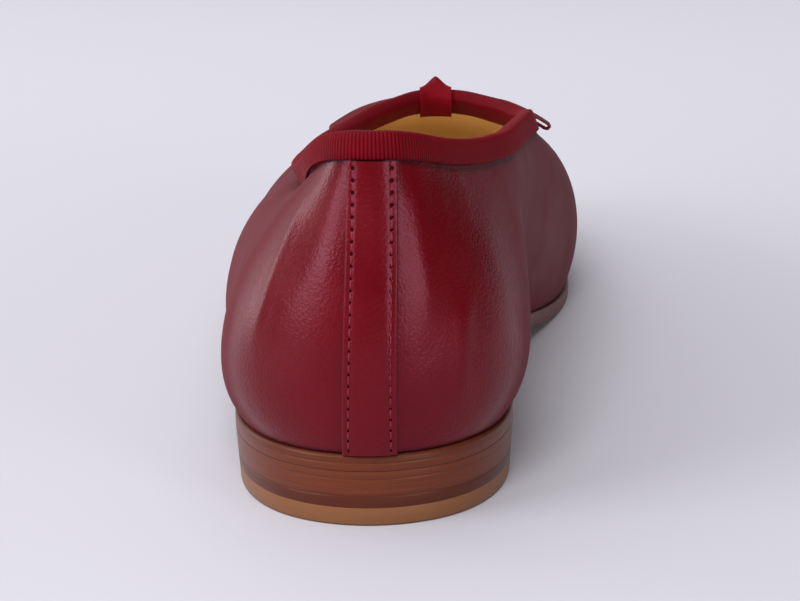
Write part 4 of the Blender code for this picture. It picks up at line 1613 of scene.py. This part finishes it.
@dataclass
class Heel:
    """The stacked heel: main lift, dark lift and the worn tan piece."""

    last: Last
    bench: Bench
    stacked: bpy.types.Material
    dark: bpy.types.Material
    tan: bpy.types.Material
    length: float = 0.052
    taper: float = 0.0008
    top_piece: float = 0.0034
    dark_lift: float = 0.0022
    seat_band: float = 0.0004
    layer: float = 0.0011
    half: int = 90

    def ring(self, inset: float) -> np.ndarray:
        """The heel's outline in plan, closed by the breast.

        Args:
            inset: How far it lies inside the sole's edge.

        Returns:
            The outline's points.
        """
        fine = np.linspace(0, 0.5, 801)
        breast = np.interp(self.length, closed_spline(self.last.knots, self.last.values, fine)[:, 1], fine)
        places = np.linspace(-breast, breast, 2 * self.half - 1)
        line = self.last.plan_ring(places, self.last.sole_margin - inset)
        line[[0, -1], 1] = self.length
        middle = line[[0, -1]].mean(axis=0, keepdims=True)
        return np.concatenate([line[self.half - 1 :], middle, line[: self.half - 1]])

    def lift(
        self,
        name: str,
        levels: Sequence[tuple[float, float]],
        material: bpy.types.Material,
        slot: str,
        node: str,
    ) -> None:
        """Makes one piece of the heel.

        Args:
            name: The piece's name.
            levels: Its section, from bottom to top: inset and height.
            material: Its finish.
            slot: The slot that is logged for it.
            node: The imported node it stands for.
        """
        seat, rings = self.last.seat_height, []
        for inset, z in levels:
            ring = self.ring(self.taper * (1 - z / seat) + inset)
            near_sole = z > seat - self.seat_band
            height = self.last.sole_under(ring[:, 1]) + (z - seat) if near_sole else np.full(len(ring), z)
            rings.append(np.column_stack([ring, height]))
        faces = Bench.plate_faces(len(rings), len(rings[0]))
        count = len(rings[0])
        # Rings set in more than 0.1 mm from the edge, the tan piece's bevel on the floor, are drawn darker.
        mark = np.repeat([0.8 if inset > 0.0001 else 0.0 for inset, _ in levels], count)
        piece = self.bench.solid(name, np.concatenate(rings), faces, material, {"mark": mark}, sharp=50)
        Bench.dress(piece, slot, node)

    def build(self) -> None:
        """Makes the three pieces from the floor up, each close on the one below."""
        gap = self.last.gap
        tan_top = self.top_piece + gap / 2
        dark_top = self.top_piece + gap + self.dark_lift + gap / 2
        seat = self.last.seat_height
        self.lift(
            "heel_tan_piece",
            [(0.0004, 0.0), (0.00012, 0.0001), (0.0, 0.0004), (0.0, tan_top - 0.0001), (0.00004, tan_top)],
            self.tan,
            "tan_leather",
            "heel_top_piece",
        )
        self.lift(
            "heel_dark_piece",
            [(0.00004, tan_top), (0.0, tan_top + 0.0001), (0.0, dark_top - 0.0001), (0.00004, dark_top)],
            self.dark,
            "dark_stacked_leather",
            "heel_dark_lift",
        )
        levels = [(0.00004, dark_top), (0.0, dark_top + 0.0001)]
        for z in np.arange(dark_top + self.layer, seat - 0.0006, self.layer):
            levels += [(0.0, z - 0.0001), (0.00002, z), (0.0, z + 0.0001)]
        levels += [(0.0, seat - 0.0001), (0.00004, seat)]
        self.lift("heel_stacked_piece", levels, self.stacked, "stacked_leather", "heel_main_lift")


class Softbox(NamedTuple):
    """A rectangular light that faces the shoe.

    The azimuth is in degrees from the camera's side of the shoe, positive to the right, and the
    elevation in degrees above the floor.
    """

    name: str
    azimuth: float
    elevation: float
    size: tuple[float, float]
    glow: float


SOFTBOXES = (
    Softbox("left_softbox", -64.0, 21.5, (0.75, 0.70), 6.1),
    Softbox("far_left_softbox", -120.0, 8.0, (0.34, 0.80), 2.8),
    Softbox("right_softbox", 41.0, 8.5, (0.55, 0.72), 5.5),
    Softbox("high_softbox", -10.0, 43.0, (0.55, 0.45), 14.0),
)


@dataclass
class Studio:
    """The pale floor, the soft light and the camera."""

    last: Last
    # The floor's colour runs from painted shade near the camera to painted light further off.
    shaded_floor_near: Colour = (0.545, 0.537, 0.590)
    lit_floor_far: Colour = (0.74, 0.729, 0.80)
    floor_span: tuple[float, float] = (-0.15, 0.42)
    room: float = 0.03
    overhead: float = 1.05
    ahead: float = 0.35
    window: float = 0.35
    backdrop: float = 0.8
    target: tuple[float, float, float] = (0.0, -0.08, 0.03)
    reach: float = 1.3
    turn_deg: float = 1.6
    yaw_deg: float = 3.76
    pitch_deg: float = 15.19
    distance: float = 0.567
    height: float = 0.1953
    zoom: float = 2.0
    focal_px: float = 1613.0
    frame_px: float = 800.0
    aim_px: tuple[float, float] = (-86.0, 4.5)

    def floor(self) -> None:
        """Lays the floor, its colour painted darker near the camera and lighter further off, as shade and
        light.
        """
        size = 6.0
        mesh = bpy.data.meshes.new("floor")
        corners = [(-size, -size, 0), (size, -size, 0), (size, size, 0), (-size, size, 0)]
        mesh.from_pydata(corners, [], [(0, 1, 2, 3)])
        material = bpy.data.materials.new("floor")
        material.use_nodes = True
        board = Board(material.node_tree)
        shader = material.node_tree.nodes["Principled BSDF"]
        place = board.add("ShaderNodeTexCoord").outputs["Object"]
        axes = board.add("ShaderNodeSeparateXYZ", {0: place})
        near, far = self.floor_span
        share = board.add(
            "ShaderNodeMapRange",
            {"Value": axes.outputs[1], "From Min": near, "From Max": far},
            interpolation_type="SMOOTHSTEP",
        )
        colour = board.mix(share.outputs[0], self.shaded_floor_near, self.lit_floor_far)
        material.node_tree.links.new(colour, shader.inputs["Base Color"])
        shader.inputs["Roughness"].default_value = 0.6
        mesh.materials.append(material)
        floor = bpy.data.objects.new("floor", mesh)
        bpy.context.scene.collection.objects.link(floor)

    def softbox(self, box: Softbox) -> None:
        """Hangs one of the lights.

        Args:
            box: The light.
        """
        data = bpy.data.lights.new(box.name, "AREA")
        data.shape = "RECTANGLE"
        data.size, data.size_y = box.size
        data.energy = box.glow * math.pi * box.size[0] * box.size[1]
        light = bpy.data.objects.new(box.name, data)
        turn, rise = math.radians(box.azimuth), math.radians(box.elevation)
        way = Vector((math.sin(turn) * math.cos(rise), -math.cos(turn) * math.cos(rise), math.sin(rise)))
        light.location = Vector(self.target) + way * self.reach
        light.rotation_euler = (-way).to_track_quat("-Z", "Y").to_euler()
        bpy.context.scene.collection.objects.link(light)

    def lights(self) -> None:
        """Sets the world's light and the softboxes: bright above and ahead, dark behind the camera."""
        world = bpy.data.worlds.new("studio")
        world.use_nodes = True
        board = Board(world.node_tree)
        way = board.add("ShaderNodeTexCoord").outputs["Generated"]
        glow: Socket | float = self.room
        for towards, low, high, strength in (
            ((-0.30, 0.10, 0.95), 0.40, 0.92, self.overhead),
            ((-0.50, 0.866, 0.0), 0.45, 0.80, self.ahead),
            ((-0.848, 0.530, 0.0), 0.88, 0.985, self.window),
        ):
            facing = board.add("ShaderNodeVectorMath", {0: way, 1: towards}, operation="DOT_PRODUCT")
            share = board.add(
                "ShaderNodeMapRange",
                {"Value": facing.outputs["Value"], "From Min": low, "From Max": high},
                interpolation_type="SMOOTHSTEP",
            )
            glow = board.math("ADD", glow, board.math("MULTIPLY", share.outputs[0], strength))
        seen = board.add("ShaderNodeLightPath").outputs["Is Camera Ray"]
        glow = board.math("MULTIPLY", glow, board.math("SUBTRACT", 1.0, seen))
        glow = board.math("ADD", glow, board.math("MULTIPLY", seen, self.backdrop))
        ground = world.node_tree.nodes["Background"]
        ground.inputs[0].default_value = (0.98, 0.97, 1.0, 1)
        world.node_tree.links.new(glow, ground.inputs[1])
        bpy.context.scene.world = world
        bpy.context.scene.view_settings.view_transform = "Standard"
        for box in SOFTBOXES:
            self.softbox(box)

    def camera(self) -> None:
        """Sets the camera where the photograph's stood, closer framed on the one shoe."""
        turn = math.radians(self.turn_deg)
        sight = Vector((-math.sin(turn), math.cos(turn), 0.0))
        yaw, pitch = math.radians(-self.yaw_deg), math.radians(self.pitch_deg)
        ahead = sight.x * math.sin(yaw) + sight.y * math.cos(yaw)
        level = Vector((sight.x * math.cos(yaw) - sight.y * math.sin(yaw), ahead, 0.0))
        look = level * math.cos(pitch) - Vector((0.0, 0.0, math.sin(pitch)))
        straight = look.to_track_quat("-Z", "Y")
        aim = straight @ Vector((self.aim_px[0], self.aim_px[1], -self.focal_px))
        data = bpy.data.cameras.new("camera")
        data.lens = self.zoom * self.focal_px / self.frame_px * 36.0
        data.sensor_width = 36.0
        data.clip_start, data.clip_end = 0.02, 20.0
        camera = bpy.data.objects.new("camera", data)
        camera.location = Vector(self.last.shift) - sight * self.distance + Vector((0.0, 0.0, self.height))
        camera.rotation_euler = (look.rotation_difference(aim) @ straight).to_euler()
        bpy.context.scene.collection.objects.link(camera)
        bpy.context.scene.camera = camera

    def build(self) -> None:
        """Sets up floor, light and camera."""
        self.floor()
        self.lights()
        self.camera()


BURGUNDY = LeatherFinish(
    "burgundy_leather",
    light=(0.103, 0.0009, 0.0035),
    dark=(0.091, 0.0008, 0.0030),
    # Painted shade for the upper's creases and the strap's needle holes.
    shade=(0.006, 0.0005, 0.001),
)
THREAD = LeatherFinish(
    "burgundy_thread",
    light=(0.18, 0.020, 0.036),
    dark=(0.145, 0.011, 0.024),
    shade=(0.1, 0.01, 0.02),
    roughness=0.35,
    coat=0.1,
    cell=0.0002,
    bump=0.3,
)
OCHRE = LeatherFinish(
    "ochre_lining",
    light=(0.95, 0.72, 0.40),
    dark=(0.92, 0.67, 0.35),
    shade=(0.4, 0.2, 0.06),
    roughness=0.5,
    coat=0.0,
    cell=0.0005,
    bump=0.1,
    unevenness=0.5,
    level=0.3,
    tint=(1.0, 1.0, 1.0),
)
TREAD = LeatherFinish(
    "tan_tread",
    light=(0.30, 0.125, 0.055),
    dark=(0.25, 0.100, 0.042),
    shade=(0.1, 0.04, 0.02),
    roughness=0.5,
    coat=0.05,
    cell=0.0009,
    bump=0.15,
    unevenness=0.5,
    level=0.3,
    tint=(1.0, 1.0, 1.0),
)
RIBBON = RibbonFinish(
    "burgundy_ribbon",
    light=(0.152, 0.0018, 0.0063),
    dark=(0.127, 0.0014, 0.0050),
    painted_groove_shade=(0.018, 0.0005, 0.0013),
)
STACKED = StackedFinish("stacked_leather", (0.139, 0.031, 0.0142), (0.060, 0.0115, 0.0053), 0.00315)
DARK_STACKED = StackedFinish("dark_stacked_leather", (0.093, 0.019, 0.0093), (0.056, 0.0105, 0.0050), 0.003)
TAN = StackedFinish("tan_leather", (0.199, 0.081, 0.035), (0.160, 0.061, 0.0255), 0.006, 0.42, 0.2)


def main() -> None:
    """Builds every piece of the dressed shoe in order."""
    logging.basicConfig(level=logging.INFO, format="%(name)s: %(message)s")
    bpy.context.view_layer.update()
    last = Last()
    bench = Bench(last)
    effects, trees = Effects(), Trees()
    leather, thread, ochre = (finish.build(effects) for finish in (BURGUNDY, THREAD, OCHRE))
    ribbon, stacked, dark = (finish.build(effects) for finish in (RIBBON, STACKED, DARK_STACKED))
    tan, tread = TAN.build(effects), TREAD.build(effects)
    Upper(last, bench, leather, ochre).build()
    BackStrap(last, bench, trees, leather, thread).build()
    CollarBinding(last, bench, trees, ribbon).build()
    Bow(last, bench, trees, ribbon).build()
    Sole(last, bench, stacked, tread, ochre).build()
    Heel(last, bench, stacked, dark, tan).build()
    Studio(last).build()


if __name__ == "__main__":
    main()
